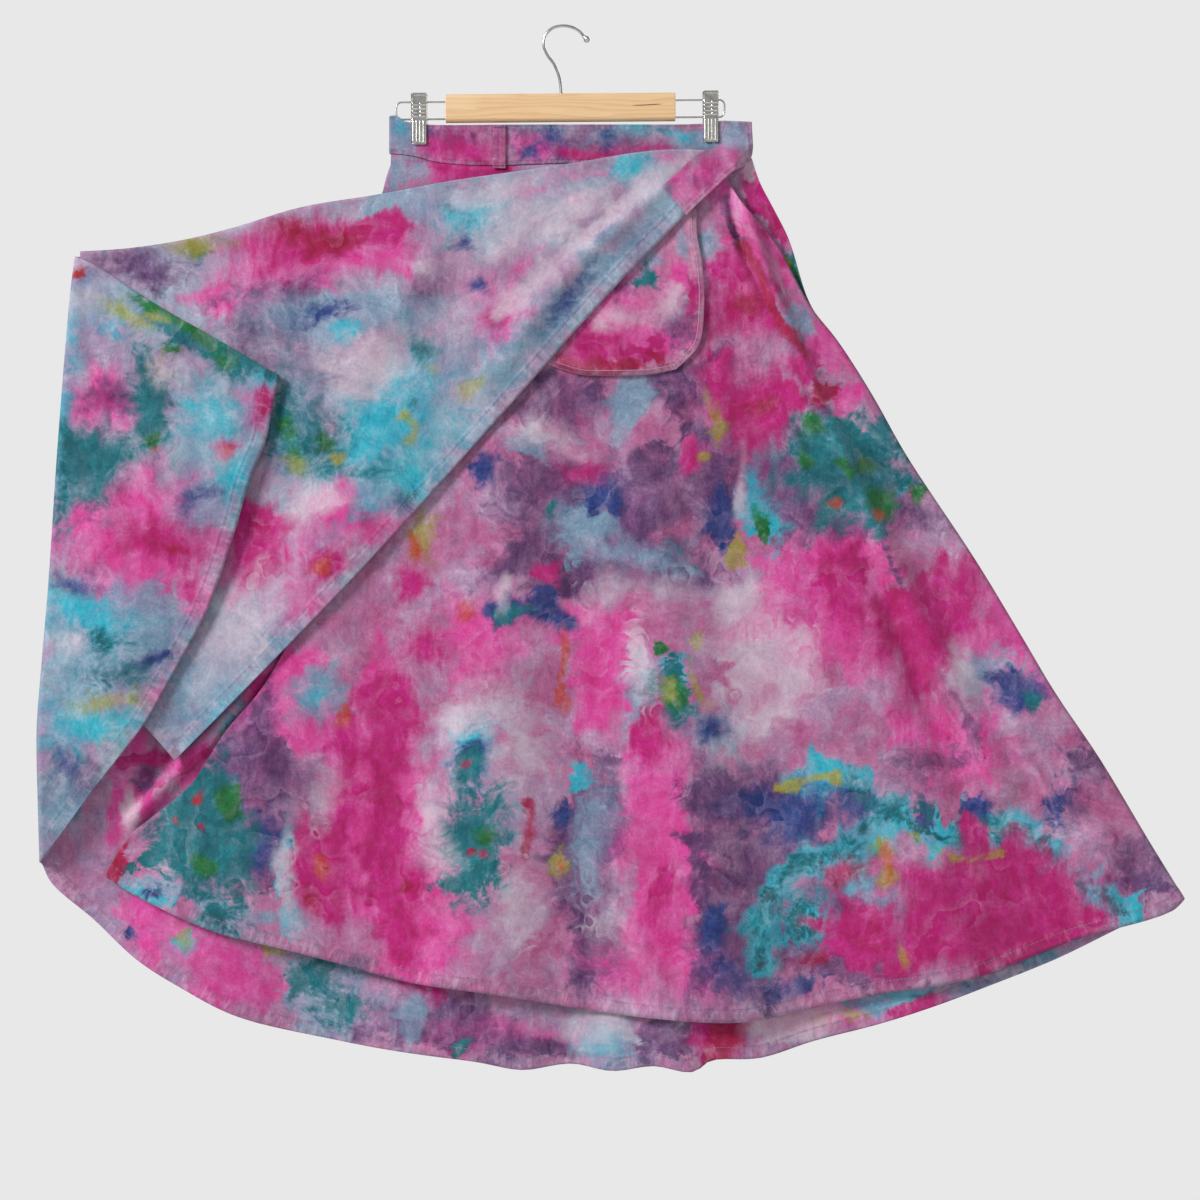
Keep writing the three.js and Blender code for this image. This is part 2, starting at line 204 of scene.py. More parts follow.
def swing(at):
    """The slow wave that all the layers share, growing from the waist to the hem."""
    angle = np.arctan2(at.x - 30, 230 - at.z)
    return 7 * step(-200, -950, at.z) * step(30, 330, at.to_pinch()) * np.cos(angle * 31 + 0.6)


def closeness(at):
    return np.minimum(
        mix(0.4, 1, step(0, 200, at.to_pinch())),
        np.minimum(
            mix(0.5, 1, step(0, 110, at.to("left_fold"))),
            mix(0.5, 1, step(0, 90, at.to("outer_fold"))),
        ),
    )


def quarter(d, r):
    """A fold's quarter round, which turns back by r at its edge."""
    return np.where(d >= r, 0, r - np.sqrt(np.maximum(0, r * r - (r - d) ** 2)))


def back_middle(at):
    fall = np.maximum(step(WAIST_Z, -330, at.z), step(-175, -260, at.x))
    return mix(BAND_Y, 6, fall) * closeness(at) + swing(at)


def front_middle(at):
    return -mix(BAND_Y, 4.5, step(WAIST_Z, -300, at.z)) + swing(at)


def over_middle(at):
    ripple = 1.6 * np.cos(at.to("over_edge") / 17)
    ripple = ripple * step(20, 90, at.to("left_fold")) * step(-140, -320, at.z)
    return -mix(10, 13, step(165, 60, at.x)) * closeness(at) + swing(at) + ripple


def side_middle(at):
    return -21 * closeness(at) + swing(at)


def is_outer(at):
    return step(-176, -206, at.x)


BACK_FOLDS = [
    (60, -700, 148, -1045, 14, 20, 3, -8), (40, -800, 48, -1050, 20, 26, 2, 7),
    (-40, -800, -42, -1050, 22, 26, 2, 6),
    (-20, -190, -60, -560, 16, 40, 0, -3), (90, -210, 210, -640, 18, 44, 0, -3),
    (-150, -260, -290, -760, 20, 48, 0, -2.6),
    (-290, -634, -345, -699, 9, 9, 7, 11), (-345, -699, -434, -793, 9, 8, 11, 9),
]


def back_depth(at):
    y = back_middle(at) + folds(BACK_FOLDS, at)
    left = (back_middle(at) + side_middle(at)) / 2
    top = (back_middle(at) + over_middle(at)) / 2
    right = (back_middle(at) + front_middle(at)) / 2
    turn = np.maximum(
        quarter(at.to("left_fold"), y - left - JOINT / 2),
        is_outer(at) * quarter(at.to("outer_fold"), y - top - JOINT / 2),
    )
    return y - np.maximum(turn, quarter(at.to("right_side"), y - right - JOINT))


def built(name, bm):
    """An object made from a finished bmesh, with its faces smooth."""
    for face in bm.faces:
        face.smooth = True
    mesh = bpy.data.meshes.new(name)
    bm.to_mesh(mesh)
    bm.free()
    made = bpy.data.objects.new(name, mesh)
    scene.collection.objects.link(made)
    return made


class Cloth:
    """A sheet of cloth laid between four edges, with its depth, hem, dyes and wall."""

    def __init__(self, name, edges, cols, rows, depth, us, vs):
        bm = bmesh.new()
        bmesh.ops.create_grid(bm, x_segments=cols, y_segments=rows, size=0.5)
        self.object = built(name, bm)
        self.mesh = self.object.data
        flat = np.empty(len(self.mesh.vertices) * 3)
        self.mesh.vertices.foreach_get("co", flat)
        u, v = us(flat[0::3] + 0.5), vs(0.5 - flat[1::3])
        lines = [smooth_line(rows) for rows in edges]
        top, bottom, left, right = (along(line, t) for line, t in zip(lines, (u, u, v, v)))
        corners = [lines[0][0], lines[0][-1], lines[1][0], lines[1][-1]]
        tl, tr, bl, br = (c[:, None] for c in corners)
        x, z = (
            (1 - v) * top + v * bottom + (1 - u) * left + u * right
            - (1 - u) * ((1 - v) * tl + v * bl) - u * ((1 - v) * tr + v * br)
        )
        self.at = Spots(x, z)
        self.mesh.vertices.foreach_set("co", (np.stack([x, depth(self.at), z], 1) * MM).ravel())
        corner = np.empty(len(self.mesh.loops), int)
        self.mesh.loops.foreach_get("vertex_index", corner)
        layer = self.mesh.uv_layers.new(name="cloth")
        layer.data.foreach_set("uv", (np.stack([x, z], 1)[corner] * MM).ravel())

    def note(self, name, kind, values):
        store = self.mesh.attributes.new(name, kind, "POINT")
        store.data.foreach_set("color" if kind == "FLOAT_COLOR" else "vector", values.ravel())

    def hem(self, names, width, thick):
        """Marks the distance to the stitched edges and the run along them. thick gives how
        thick the cloth is at each distance, as a share of its thickest."""
        found = [self.at.nearest(name) for name in names]
        away = np.min([f[0] for f in found], 0)
        run = np.choose(np.argmin([f[0] for f in found], 0), [f[1] for f in found])
        self.note("hem", "FLOAT_VECTOR", np.stack([away, run, run * 0 + width], 1) * MM)
        doubled = self.object.vertex_groups.new(name="doubled")
        share = thick(away)
        for i in np.flatnonzero(share > 0):
            doubled.add([int(i)], float(share[i]), "REPLACE")

    def dye(self, soaked):
        for k, name in enumerate(("dye_a", "dye_b", "dye_c")):
            self.note(name, "FLOAT_COLOR", soaked[4 * k : 4 * k + 4].T.copy())

    def wall(self, thin, thick):
        turn = self.object.modifiers.new("wall", "SOLIDIFY")
        turn.thickness, turn.offset = thick * MM, 0
        turn.vertex_group, turn.thickness_vertex_group = "doubled", thin / thick


HEM_WIDTH = 12
WALL, HEM_WALL = 0.7, 1.5


def turned_hem(away):
    return 1 - step(HEM_WIDTH - 1, HEM_WIDTH + 2, away)


def even(s):
    return s


def near_top(s):
    return s * s * (1.35 - 0.35 * s)


def near_ends(s, pull=0.75):
    return s - pull / (2 * math.pi) * np.sin(2 * math.pi * s)


# The dyes, in the order they are laid over one another
DYES = {
    "pink": "CE4898", "mauve": "5E3A6C", "slate": "7B9CB0", "aqua": "38ACBE",
    "violet": "28407E", "teal": "00707A", "magenta": "B20E74", "wine": "A0044C",
    "green": "12703A", "lemon": "A09A34", "orange": "BA4C2E", "pale": "CBBCC8",
}
RESIST = "CDB6C8"  # where folds kept the dyes out
BOARD_LEFT, BOARD_TOP = 563.8, 26.3  # the dyer's board: mm from its upper left corner


def soak(at, table):
    """How far each dye has soaked in: 1 inside its blots and half at their rims. A blot is
    its middle, its half width and height, and where they matter its turn and strength. A run
    of dye is its line, its half width and its strength."""
    across, down = at.x + BOARD_LEFT, BOARD_TOP - at.z
    across, down = (
        across + 5 * np.sin(down / 23 + 2 * np.sin(across / 41)),
        down + 5 * np.sin(across / 19 + 2 * np.sin(down / 37)),
    )
    soaked = np.zeros((len(DYES), len(across)))
    for k, dye in enumerate(DYES):
        for row in table.get(dye, ()):
            if isinstance(row[0], list):
                line, wide, strength = (*row, 1)[:3]
                r, run = Spots(across, down).from_line(smooth_line(line))
                r = r / wide * (1 + 0.32 * np.sin(run / 7 + wide) + 0.2 * np.sin(run / 3.1))
                soaked[k] = np.maximum(soaked[k], strength * clamp(1 - r / 2))
                continue
            x, z, wide, high, *more = row
            turn, strength = (*more, *(0, 1)[len(more):])
            c, s = math.cos(math.radians(turn)), math.sin(math.radians(turn))
            r = np.hypot(
                ((across - x) * c + (down - z) * s) / wide, ((down - z) * c - (across - x) * s) / high
            )
            size = math.sqrt(wide * high)
            lobe = np.arctan2(down - z, across - x)
            r = r * (
                1 + 0.13 * np.sin(3 * lobe + x) + 0.12 * np.sin(7 * lobe + z)
                + 0.09 * np.sin(13 * lobe + x + z)
            )
            soaked[k] = np.maximum(
                soaked[k], strength * clamp(0.5 + (1 - r) * size / (2 * min(size, 36)))
            )
    return soaked


class Ink:
    """A shader socket to do sums with; node() adds any other node."""

    def __init__(self, tree, socket=None):
        self.tree, self.socket = tree, socket

    def node(self, kind, settings=None, sockets=None, out=0):
        made = self.tree.nodes.new("ShaderNode" + kind)
        for key, value in (settings or {}).items():
            setattr(made, key, value)
        for key, value in (sockets or {}).items():
            if isinstance(value, Ink):
                self.tree.links.new(value.socket, made.inputs[key])
            else:
                made.inputs[key].default_value = value
        return Ink(self.tree, made.outputs[out])

    def sum(self, operation, *values):
        return self.node("Math", {"operation": operation}, dict(enumerate(values)))

    def __add__(self, other):
        return self.sum("ADD", self, other)

    def __sub__(self, other):
        return self.sum("SUBTRACT", self, other)

    def __rsub__(self, other):
        return self.sum("SUBTRACT", other, self)

    def __mul__(self, other):
        return self.sum("MULTIPLY", self, other)

    __radd__, __rmul__ = __add__, __mul__

    def ease(self, low, high):
        """0 below low, 1 above high, and smooth between."""
        return self.node(
            "MapRange", {"interpolation_type": "SMOOTHSTEP"}, {0: self, 1: low, 2: high}
        )

    def blend(self, colour, over):
        """This colour under another, by a share."""
        return self.node("Mix", {"data_type": "RGBA"}, {0: over, 6: self, 7: paint(colour)}, 2)

    def between(self, first, second):
        """Two colours, mixed by this share."""
        return self.node(
            "Mix", {"data_type": "RGBA"}, {0: self, 6: paint(first), 7: paint(second)}, 2
        )

    def noise(self, size, detail):
        """Noise at this place, with features of about a size."""
        return self.node("TexNoise", {}, {"Vector": self, "Scale": 1 / size, "Detail": detail})

    def stretch(self, *by):
        return self.node("VectorMath", {"operation": "MULTIPLY"}, {0: self, 1: by})

    def other(self, out):
        """Another output of the node that this one comes from."""
        return Ink(self.tree, self.socket.node.outputs[out])


def paint(text):
    """A colour from its usual six letters, as light."""
    parts = [int(text[i : i + 2], 16) / 255 for i in (0, 2, 4)]
    return (*((c / 12.92 if c < 0.04045 else ((c + 0.055) / 1.055) ** 2.4) for c in parts), 1)


def new_finish(name):
    finish = bpy.data.materials.new(name)
    finish.use_nodes = True
    finish.node_tree.nodes.clear()
    return finish, Ink(finish.node_tree)


def set_finish(finish, ink, **sockets):
    """Ends a material with its surface; one with an underscore is a socket of two words."""
    surface = ink.node("BsdfPrincipled", {}, {k.replace("_", " "): v for k, v in sockets.items()})
    output = ink.tree.nodes.new("ShaderNodeOutputMaterial")
    ink.tree.links.new(surface.socket, output.inputs["Surface"])
    return finish


def dyed_cotton(name, ground, second, shift, haze=0.0):
    """Ice-dyed cotton: each dye's blots with feathered, lacy rims over a ground colour, in a
    fine plain weave that puckers along the hem, with a painted highlight on the pucker crests and
    painted shade in their hollows and the stitch ditch. haze from 0 to 1 is how far the wet dyes ran
    into one another."""
    finish, ink = new_finish(name)
    place = ink.node("TexCoord", out="Object")
    place = ink.node("VectorMath", {"operation": "ADD"}, {0: place, 1: (shift, 0, shift)})

    def noise(size, detail, rough=0.55, of=place, out=0):
        return ink.node(
            "TexNoise", {}, {"Vector": of, "Scale": 1 / size, "Detail": detail, "Roughness": rough}, out
        )

    def drift(of, size, far):
        wander = noise(size, 2, out="Color")
        wander = ink.node("VectorMath", {"operation": "SUBTRACT"}, {0: wander, 1: (0.5, 0.5, 0.5)})
        settings = {"operation": "MULTIPLY_ADD"}
        return ink.node("VectorMath", settings, {0: wander, 1: (far, far, far), 2: of})

    curled = drift(drift(place, 0.070, 0.06), 0.020, 0.009)
    cloud = noise(0.052, 5, 0.6, curled)
    lace = noise(0.019, 5, 0.64, curled)
    speck = noise(0.006, 3, 0.6, curled)
    grain = noise(0.0024, 2, 0.6)
    streak = noise(0.009, 4, 0.6, drift(place, 0.05, 0.02).stretch(1, 1, 0.25))
    # Tide lines, where a wet patch stopped: soft on one side and crisp on the other
    tide = ink.sum("FRACT", (noise(0.060, 2, 0.45, drift(place, 0.045, 0.035)) + speck * 0.02) * 7)
    petal = ink.sum("FRACT", (noise(0.026, 1, 0.4, drift(place, 0.024, 0.016)) + speck * 0.03) * 5)
    # How well the dyes took
    veil = noise(0.038, 5, 0.58, drift(place, 0.05, 0.04)).ease(0.36, 0.58)
    soft = noise(0.080, 2).ease(0.38, 0.56)  # where the rims are soft and where crisp
    crisp = noise(0.060, 2, 0.5, curled).ease(0.44, 0.60)
    rims = {
        "cloud": (cloud - 0.5) * 1.2 + (streak - 0.5) * 0.6 + (tide - 0.5) * crisp * 0.18,
        "lace": (lace - 0.5) * 0.9 + (cloud - 0.5) * 0.7 + (petal - 0.5) * 0.15,
        "petal": (petal - 0.5) * crisp * 0.35 + (lace - 0.5) * 0.7 + (cloud - 0.5) * 0.6,
        "speck": (speck - 0.5) * 0.5 + (lace - 0.5) * 0.7,
        "flake": ((lace - 0.5) * 1.6 + (speck - 0.5) * 0.9) * (1 - haze) + (cloud - 0.5) * 0.7,
    }
    kinds = {
        "pink": "cloud", "mauve": "lace", "slate": "petal", "aqua": "flake", "violet": "lace",
        "teal": "flake", "magenta": "cloud", "wine": "speck", "green": "speck", "lemon": "flake",
        "orange": "speck", "pale": "petal",
    }
    fastness = {
        "pale": 0.75, "orange": 0.75, "lemon": 0.8, "slate": 0.85, "pink": 0.95, "mauve": 0.9,
    }
    colour = (cloud + (lace - 0.5) * 0.5).ease(0.36, 0.64).between(ground, second)
    shares = {}
    for k, name in enumerate(("dye_a", "dye_b", "dye_c")):
        stored = ink.node("Attribute", {"attribute_name": name}, out="Color")
        parts = ink.node("SeparateColor", {}, {0: stored})
        for i in range(3):
            shares[4 * k + i] = parts.other(i)
        shares[4 * k + 3] = stored.other("Alpha")
    for k, dye in enumerate(DYES):
        reach = shares[k] * 1.35 + rims[kinds[dye]] - 0.14
        width = soft * 0.30 + 0.12 + haze * 0.3
        amount = reach.ease(0.5 - width, 0.5 + width) * fastness.get(dye, 1.0)
        thin = 0.06 if dye in ("teal", "violet", "magenta", "wine", "green") else 0.34
        amount = amount * (streak * 0.36 + 0.82) * (veil * thin + 1 - thin)
        amount = amount * shares[k].ease(0.0, 0.25)
        colour = colour.blend(DYES[dye], amount)
    bleach = tide.ease(0.1, 1.0) * crisp * 0.14 + petal.ease(0.0, 1.0) * (1 - crisp) * 0.05
    colour = colour.blend(RESIST, bleach)
    depth = (lace - 0.5) * 0.9 - (cloud - 0.5) * 1.0 + (speck - 0.5) * 0.5 + (streak - 0.5) * 0.5
    depth = depth + (petal - 0.5) * 0.08 + (grain - 0.5) * 0.5 + 1.19
    colour = ink.node("Gamma", {}, {"Color": colour, "Gamma": depth})

    hem = ink.node("Attribute", {"attribute_name": "hem"}, out="Vector")
    to_hem = ink.node("SeparateXYZ", {}, {0: hem})
    run, width = to_hem.other(1), to_hem.other(2)
    from_stitch = to_hem - width
    at_hem = 1 - from_stitch.ease(0.0, 0.005)
    pucker = ink.node("CombineXYZ", {}, {0: run, 1: to_hem * 0.35}).noise(0.006, 2)
    ditch = 1 - ink.sum("ABSOLUTE", from_stitch).ease(0.0002, 0.0022)
    # Painted highlight on the hem's pucker crests, and painted shade in their hollows and along the
    # stitch ditch
    colour = colour.blend("D9CDD8", pucker.ease(0.5, 0.72) * at_hem * 0.16)
    colour = colour.blend("4A3A50", (1 - pucker.ease(0.3, 0.5)) * at_hem * 0.2)
    colour = colour.blend("4A3A50", ditch * pucker.ease(0.7, 0.4) * 0.2)
    stored = ink.node("UVMap", {"uv_map": "cloth"})
    warp_yarn, weft_yarn = (
        ink.node(
            "TexWave", {"bands_direction": way},
            {"Vector": stored, "Scale": 1 / 0.0028, "Distortion": 1.2, "Detail": 1, "Detail Scale": 1.5},
        )
        for way in ("X", "Y")
    )
    crumple = noise(0.028, 3, 0.5) + noise(0.009, 2, 0.5) * 0.35
    height = (
        crumple * 1.35 + pucker * at_hem * 2.2 - ditch * 0.6 + grain * 0.22
        + (warp_yarn + weft_yarn) * 0.05
    )
    normal = ink.node("Bump", {}, {"Strength": 0.55, "Distance": 0.0012, "Height": height})
    rough = 0.8 + lace * 0.16
    return set_finish(
        finish, ink, Base_Color=colour, Roughness=rough, Normal=normal,
        Sheen_Weight=0.13, Sheen_Roughness=0.6, Specular_IOR_Level=0.25,
    )


BACK_DYES = {  # the strip that shows below the fronts, then the whole rear
    "pink": [(136, 800, 34, 50), (156, 923, 36, 36), (230, 978, 52, 36, 30), (470, 1035, 60, 16),
        (190, 762, 24, 24, 40), (756, 184, 10, 24, -28), (860, 1010, 110, 16, -8), (330, 620, 90, 110),
        (760, 520, 80, 120, 20), (980, 820, 60, 90, -30), (560, 260, 60, 60), (600, 860, 70, 120)],
    "mauve": [(147, 778, 10, 20, 20), (520, 1048, 40, 14), (430, 1020, 70, 26), (230, 420, 70, 50),
        (620, 470, 70, 60), (420, 820, 70, 80), (880, 660, 60, 50), (680, 230, 26, 40),
        (664, 1040, 26, 22)],
    "slate": [(152, 850, 20, 30, 0, 0.8), (326, 989, 44, 40), (409, 1014, 13, 28), (610, 1040, 30, 26),
        (960, 985, 60, 22, -14), (300, 330, 90, 40, -20), (700, 760, 60, 70), (450, 300, 40, 60),
        (900, 900, 70, 40)],
    "aqua": [(186, 939, 16, 12, 0, 0.6), (606, 1044, 22, 14), (222, 728, 12, 24, 45, 0.6),
        (880, 1000, 40, 14, -10), (200, 560, 50, 70), (520, 640, 50, 50), (840, 420, 26, 50, 60),
        (1010, 960, 40, 14, -20)],
    "violet": [(128, 939, 8, 9, 0, 0.8), (640, 880, 30, 50), (480, 430, 36, 30), (300, 780, 40, 36),
        (990, 970, 56, 12, -18, 0.85)],
    "teal": [(316, 975, 30, 26, 30, 0.9), (345, 1012, 26, 14, 12, 0.9), (458, 1044, 8, 8),
        (420, 640, 40, 60), (794, 268, 11, 26, -28), (160, 690, 30, 30), (740, 640, 30, 30),
        (1040, 850, 30, 34), (226, 730, 10, 20, 45, 0.6)],
    "magenta": [(717, 1038, 26, 26), ([(124, 768), (142, 761), (165, 754)], 6), (256, 690, 18, 14, -45),
        (197, 752, 8, 7), (188, 764, 6, 12, 45), (164, 790, 8, 8, 0, 0.7), (764, 202, 12, 28, -28),
        (776, 228, 8, 16, -28), (560, 560, 50, 70, 10), (360, 480, 50, 40), (820, 780, 60, 60),
        (440, 960, 60, 30), (920, 1006, 24, 8, -10)],
    "wine": [(722, 1046, 18, 18), (580, 590, 16, 26), (840, 800, 20, 20), (350, 470, 18, 14)],
    "green": [(794, 270, 6, 14, -28), (218, 736, 6, 12, 45, 0.6), (410, 620, 14, 16),
        (168, 690, 10, 14), (750, 650, 10, 10)],
    "lemon": [(268, 950, 10, 7), (184, 934, 14, 8, 30, 0.6), (786, 258, 4, 9, -28, 0.8),
        (500, 700, 20, 12), (860, 1020, 12, 6)],
    "orange": [(826, 1024, 10, 6), (272, 948, 5, 4), (380, 500, 12, 10), (800, 830, 10, 16)],
    "pale": [(606, 1026, 30, 24), (790, 1025, 50, 16, -4), (960, 975, 50, 14, -14),
        (172, 784, 10, 20, 40, 0.5), (126, 820, 12, 26, 0, 0.9), (750, 166, 8, 14, 0, 0.8),
        (680, 360, 40, 60), (280, 560, 40, 50), (540, 780, 40, 60), (900, 540, 40, 60, 20)],
}
OVER_DYES = {  # the turned-back front, down from the upper fold
    "pink": [(315, 262, 96, 26, -6), (232, 302, 40, 16), (385, 250, 34, 22), (350, 520, 50, 32),
        (256, 552, 36, 42), (470, 300, 40, 26, -40, 0.7), (560, 196, 40, 9, -8, 0.6),
        (520, 262, 30, 12, -40, 0.6), (600, 172, 50, 8, -10, 0.6), (670, 165, 18, 8, 0, 0.7),
        (200, 640, 40, 30, 0, 0.6), (300, 600, 50, 40, 0, 0.7), (498, 321, 34, 24, -45)],
    "mauve": [(134, 268, 52, 16), (290, 292, 60, 14, -10, 0.8), (262, 330, 40, 22, 0, 0.8),
        (300, 372, 50, 26, 0, 0.8), (430, 290, 30, 20, 0, 0.6), (540, 330, 14, 22, 45, 0.5)],
    "slate": [([(706, 172), (640, 236), (570, 306), (500, 372)], 15, 0.8), ([(640, 160), (560, 196),
        (500, 240)], 9, 0.7), (606, 238, 30, 14, -42, 0.8), (345, 320, 88, 22), (410, 205, 40, 24),
        (475, 210, 40, 26), (450, 360, 60, 36, -30, 0.8), (230, 660, 90, 60, -45, 0.8),
        (300, 400, 40, 30, 0, 0.8), (640, 178, 26, 9), (240, 690, 60, 40, -45)],
    "aqua": [(400, 425, 76, 52, -30, 0.8), (345, 332, 16, 10), (400, 478, 52, 26, -30),
        (471, 214, 24, 16, 0, 0.8), (632, 166, 18, 11), (228, 716, 34, 22, -45, 0.7),
        (427, 352, 14, 12), (300, 440, 40, 34, 0, 0.7)],
    "violet": [(467, 246, 8, 8), (474, 290, 8, 8), (330, 312, 40, 10, 0, 0.75),
        (405, 500, 16, 9, 0, 0.7), (572, 300, 10, 30, 45, 0.75), (645, 235, 5, 20, 45, 0.3)],
    "teal": [(427, 352, 12, 14), (310, 440, 44, 34, 0, 0.8), (285, 425, 18, 34),
        (377, 476, 22, 15, 0, 0.6), (408, 496, 18, 7, -30, 0.7), (410, 410, 18, 12, 0, 0.6),
        (200, 250, 12, 8, 0, 0.7), (450, 205, 14, 14, 0, 0.5)],
    "magenta": [(318, 238, 82, 20, -8), (395, 232, 20, 14), (257, 528, 24, 24), (256, 562, 22, 26),
        (332, 562, 20, 12), (500, 322, 16, 14, 0, 0.7), (362, 520, 14, 12, 0, 0.7)],
    "wine": [(334, 240, 30, 14), (292, 232, 24, 10, 0, 0.85), (256, 524, 12, 12, 0, 0.6),
        (330, 562, 10, 8, 0, 0.8)],
    "green": [(289, 427, 8, 9), (296, 440, 7, 7), (330, 441, 8, 7), (201, 243, 14, 8, 0, 0.6),
        (299, 458, 7, 6)],
    "lemon": [(201, 242, 26, 12, 0, 0.8), (471, 386, 16, 8, -40, 0.9), ([(400, 418), (412, 434),
        (408, 444)], 5), (339, 455, 7, 6), (296, 466, 8, 6), (440, 372, 6, 8, 0, 0.7)],
    "orange": [(328, 564, 8, 7), (215, 250, 8, 5, 0, 0.6)],
    "pale": [([(690, 166), (612, 214), (548, 268), (500, 316)], 11, 0.95), ([(600, 186), (540, 216),
        (490, 262)], 8, 0.8), (372, 360, 44, 22), (422, 263, 14, 8), (312, 500, 30, 20, 0, 0.8),
        (488, 192, 48, 12, -8, 0.8), (350, 385, 50, 20, 0, 0.6), (560, 214, 60, 20, -30, 0.8),
        (520, 222, 40, 22, -45, 0.75), (660, 186, 30, 12, -42, 0.85), (240, 630, 60, 40, -45, 0.7),
        (455, 330, 30, 34, 45, 0.6), (440, 410, 36, 30, 0, 0.55)],
}
SIDE_DYES = {  # the far side, turned forward again over the left fold
    "pink": [(104, 402, 32, 34), (138, 530, 92, 66), (256, 405, 18, 26), (160, 695, 16, 22, 0, 0.7),
        (200, 600, 30, 30), (90, 282, 16, 14, 0, 0.7)],
    "mauve": [(110, 396, 20, 16), (78, 790, 40, 26, 0, 0.8), (90, 590, 26, 24, 0, 0.7),
        (60, 400, 14, 40, 0, 0.6)],
    "slate": [(98, 300, 40, 26), (212, 500, 32, 30), (216, 430, 44, 40), (120, 640, 80, 46),
        (66, 808, 28, 28), (80, 690, 40, 50, 0, 0.7), (255, 378, 24, 14)],
    "aqua": [(215, 425, 44, 36, 0, 0.6), (261, 376, 18, 12, 0, 0.7), (60, 460, 16, 60, 0, 0.8),
        (95, 620, 50, 34, 0, 0.7), (88, 727, 50, 22, 0, 0.75), (120, 330, 30, 16, 0, 0.6),
        (240, 470, 20, 24), (70, 340, 12, 40, 0, 0.6)],
    "violet": [(200, 495, 20, 18, 0, 0.7), (83, 582, 24, 10, 0, 0.7), (66, 760, 12, 16, 0, 0.7),
        (160, 660, 26, 8, -10, 0.8)],
    "teal": [(192, 328, 66, 16, 32, 1.15), (150, 405, 18, 44, 0, 1.1), (88, 466, 44, 34, 0, 1.15),
        (240, 366, 16, 12, 0, 0.8), (128, 672, 34, 16, 0, 0.7), (60, 500, 14, 40, 0, 0.7),
        (100, 640, 40, 20, 0, 0.6)],
    "magenta": [(160, 538, 44, 22), (262, 404, 10, 18), (226, 446, 12, 10), (104, 398, 12, 12, 0, 0.6),
        (130, 500, 20, 14, 0, 0.6), (185, 590, 14, 16, 0, 0.7)],
    "wine": [(83, 271, 8, 7, 0, 0.8), (227, 448, 7, 7, 0, 0.8), (175, 545, 14, 6, 0, 0.7)],
    "green": [(196, 326, 44, 7, 32, 0.9), (150, 306, 16, 6, 20, 0.9), (152, 443, 7, 7),
        (232, 358, 12, 8, 30, 0.8), (180, 352, 14, 10, 0, 0.6)],
    "lemon": [(128, 318, 34, 10, 28, 0.7), (166, 372, 16, 18, 0, 0.55), (111, 700, 30, 12, 0, 0.7),
        (160, 316, 14, 8, 0, 0.7)],
    "orange": [(229, 447, 6, 5, 0, 0.9), (84, 272, 5, 4, 0, 0.8), (155, 455, 4, 4, 0, 0.7)],
    "pale": [(88, 300, 26, 18, 0, 0.7), (170, 378, 22, 22, 0, 0.6), (70, 645, 26, 14, 0, 0.7),
        (225, 452, 34, 24, 0, 0.55), (80, 262, 14, 8)],
}

back = Cloth(
    "back_panel_cloth", [BACK_TOP, BACK_HEM, LEFT_FOLD, RIGHT_SIDE], 226, 176, back_depth,
    near_ends, lambda s: near_ends(s, 0.5),
)
back.hem(["back_hem"], HEM_WIDTH, turned_hem)
# Round the folds the dyes go on into the turned pieces
back_soaked = soak(back.at, BACK_DYES)
near_over = is_outer(back.at) * step(90, 10, back.at.to("outer_fold"))
back_soaked = mix(back_soaked, soak(back.at, OVER_DYES), near_over)
back.dye(mix(back_soaked, soak(back.at, SIDE_DYES), step(80, 10, back.at.to("left_fold"))))
back.wall(WALL, HEM_WALL)
back.mesh.materials.append(dyed_cotton("dyed_back", "B27CA0", "9D86A6", 0.0))
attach(back.object, "root")
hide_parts("back_panel")


# ------------------------------------------------------------ under front
# The wrap's inner front, right side out. Its curved hem is turned and stitched, and its right
# side runs up to the bright fold beside the waistband's end.
FRONT_TOP = [(-173, -127.6), *below(BAND_SEAM[1:8]), (158, -137.6)]
FRONT_LEFT = [
    (-173, -127.6), (-176, -200), (-190, -300), (-212, -420), (-246, -550), (-299, -658), (-339, -706),
    (-374, -759), (-415, -793), (-437, -811), (-451, -833), (-460, -851),
]
FRONT_HEM = [
    (-460, -851), (-437, -865), (-410, -879), (-351, -904), (-264, -927), (-158, -955), (-72, -967),
    (8, -982), (91, -992), (182, -995), (249, -983), (315, -968), (414, -950), (514, -914), (607, -884),
    (620, -872),
]
FRONT_FOLDS = [
    (176, -165, 206, -260, 8, 11, 8, 14), (206, -260, 246, -374, 11, 14, 14, 14),
    (246, -374, 436, -760, 14, 22, 14, 12), (164, -168, 179, -224, 3.5, 5, -4, -8),
    (179, -224, 214, -290, 5, 7, -8, -8), (214, -290, 400, -760, 7, 16, -8, -7),
    (150, -260, 330, -800, 14, 34, -3, -5), (70, -440, 170, -960, 26, 36, 1, 7),
    (-60, -420, -60, -960, 36, 52, 3, 6), (-150, -620, -250, -920, 30, 48, 4, 6),
    (196, -260, 218, -330, 5, 9, -2, -3), (452, -706, 480, -764, 9, 14, 2, 3),
    (478, -700, 506, -752, 7, 10, -2, -2), (340, -560, 372, -640, 12, 20, -1.5, -2),
    (406, -534, 543, -809, 14, 22, 4, 5), (362, -831, 411, -941, 14, 18, 1.5, 3),
    (452, -716, 500, -790, 5, 7, 2.5, 2.5), (474, -704, 520, -764, 5, 6, -2, -2),
]
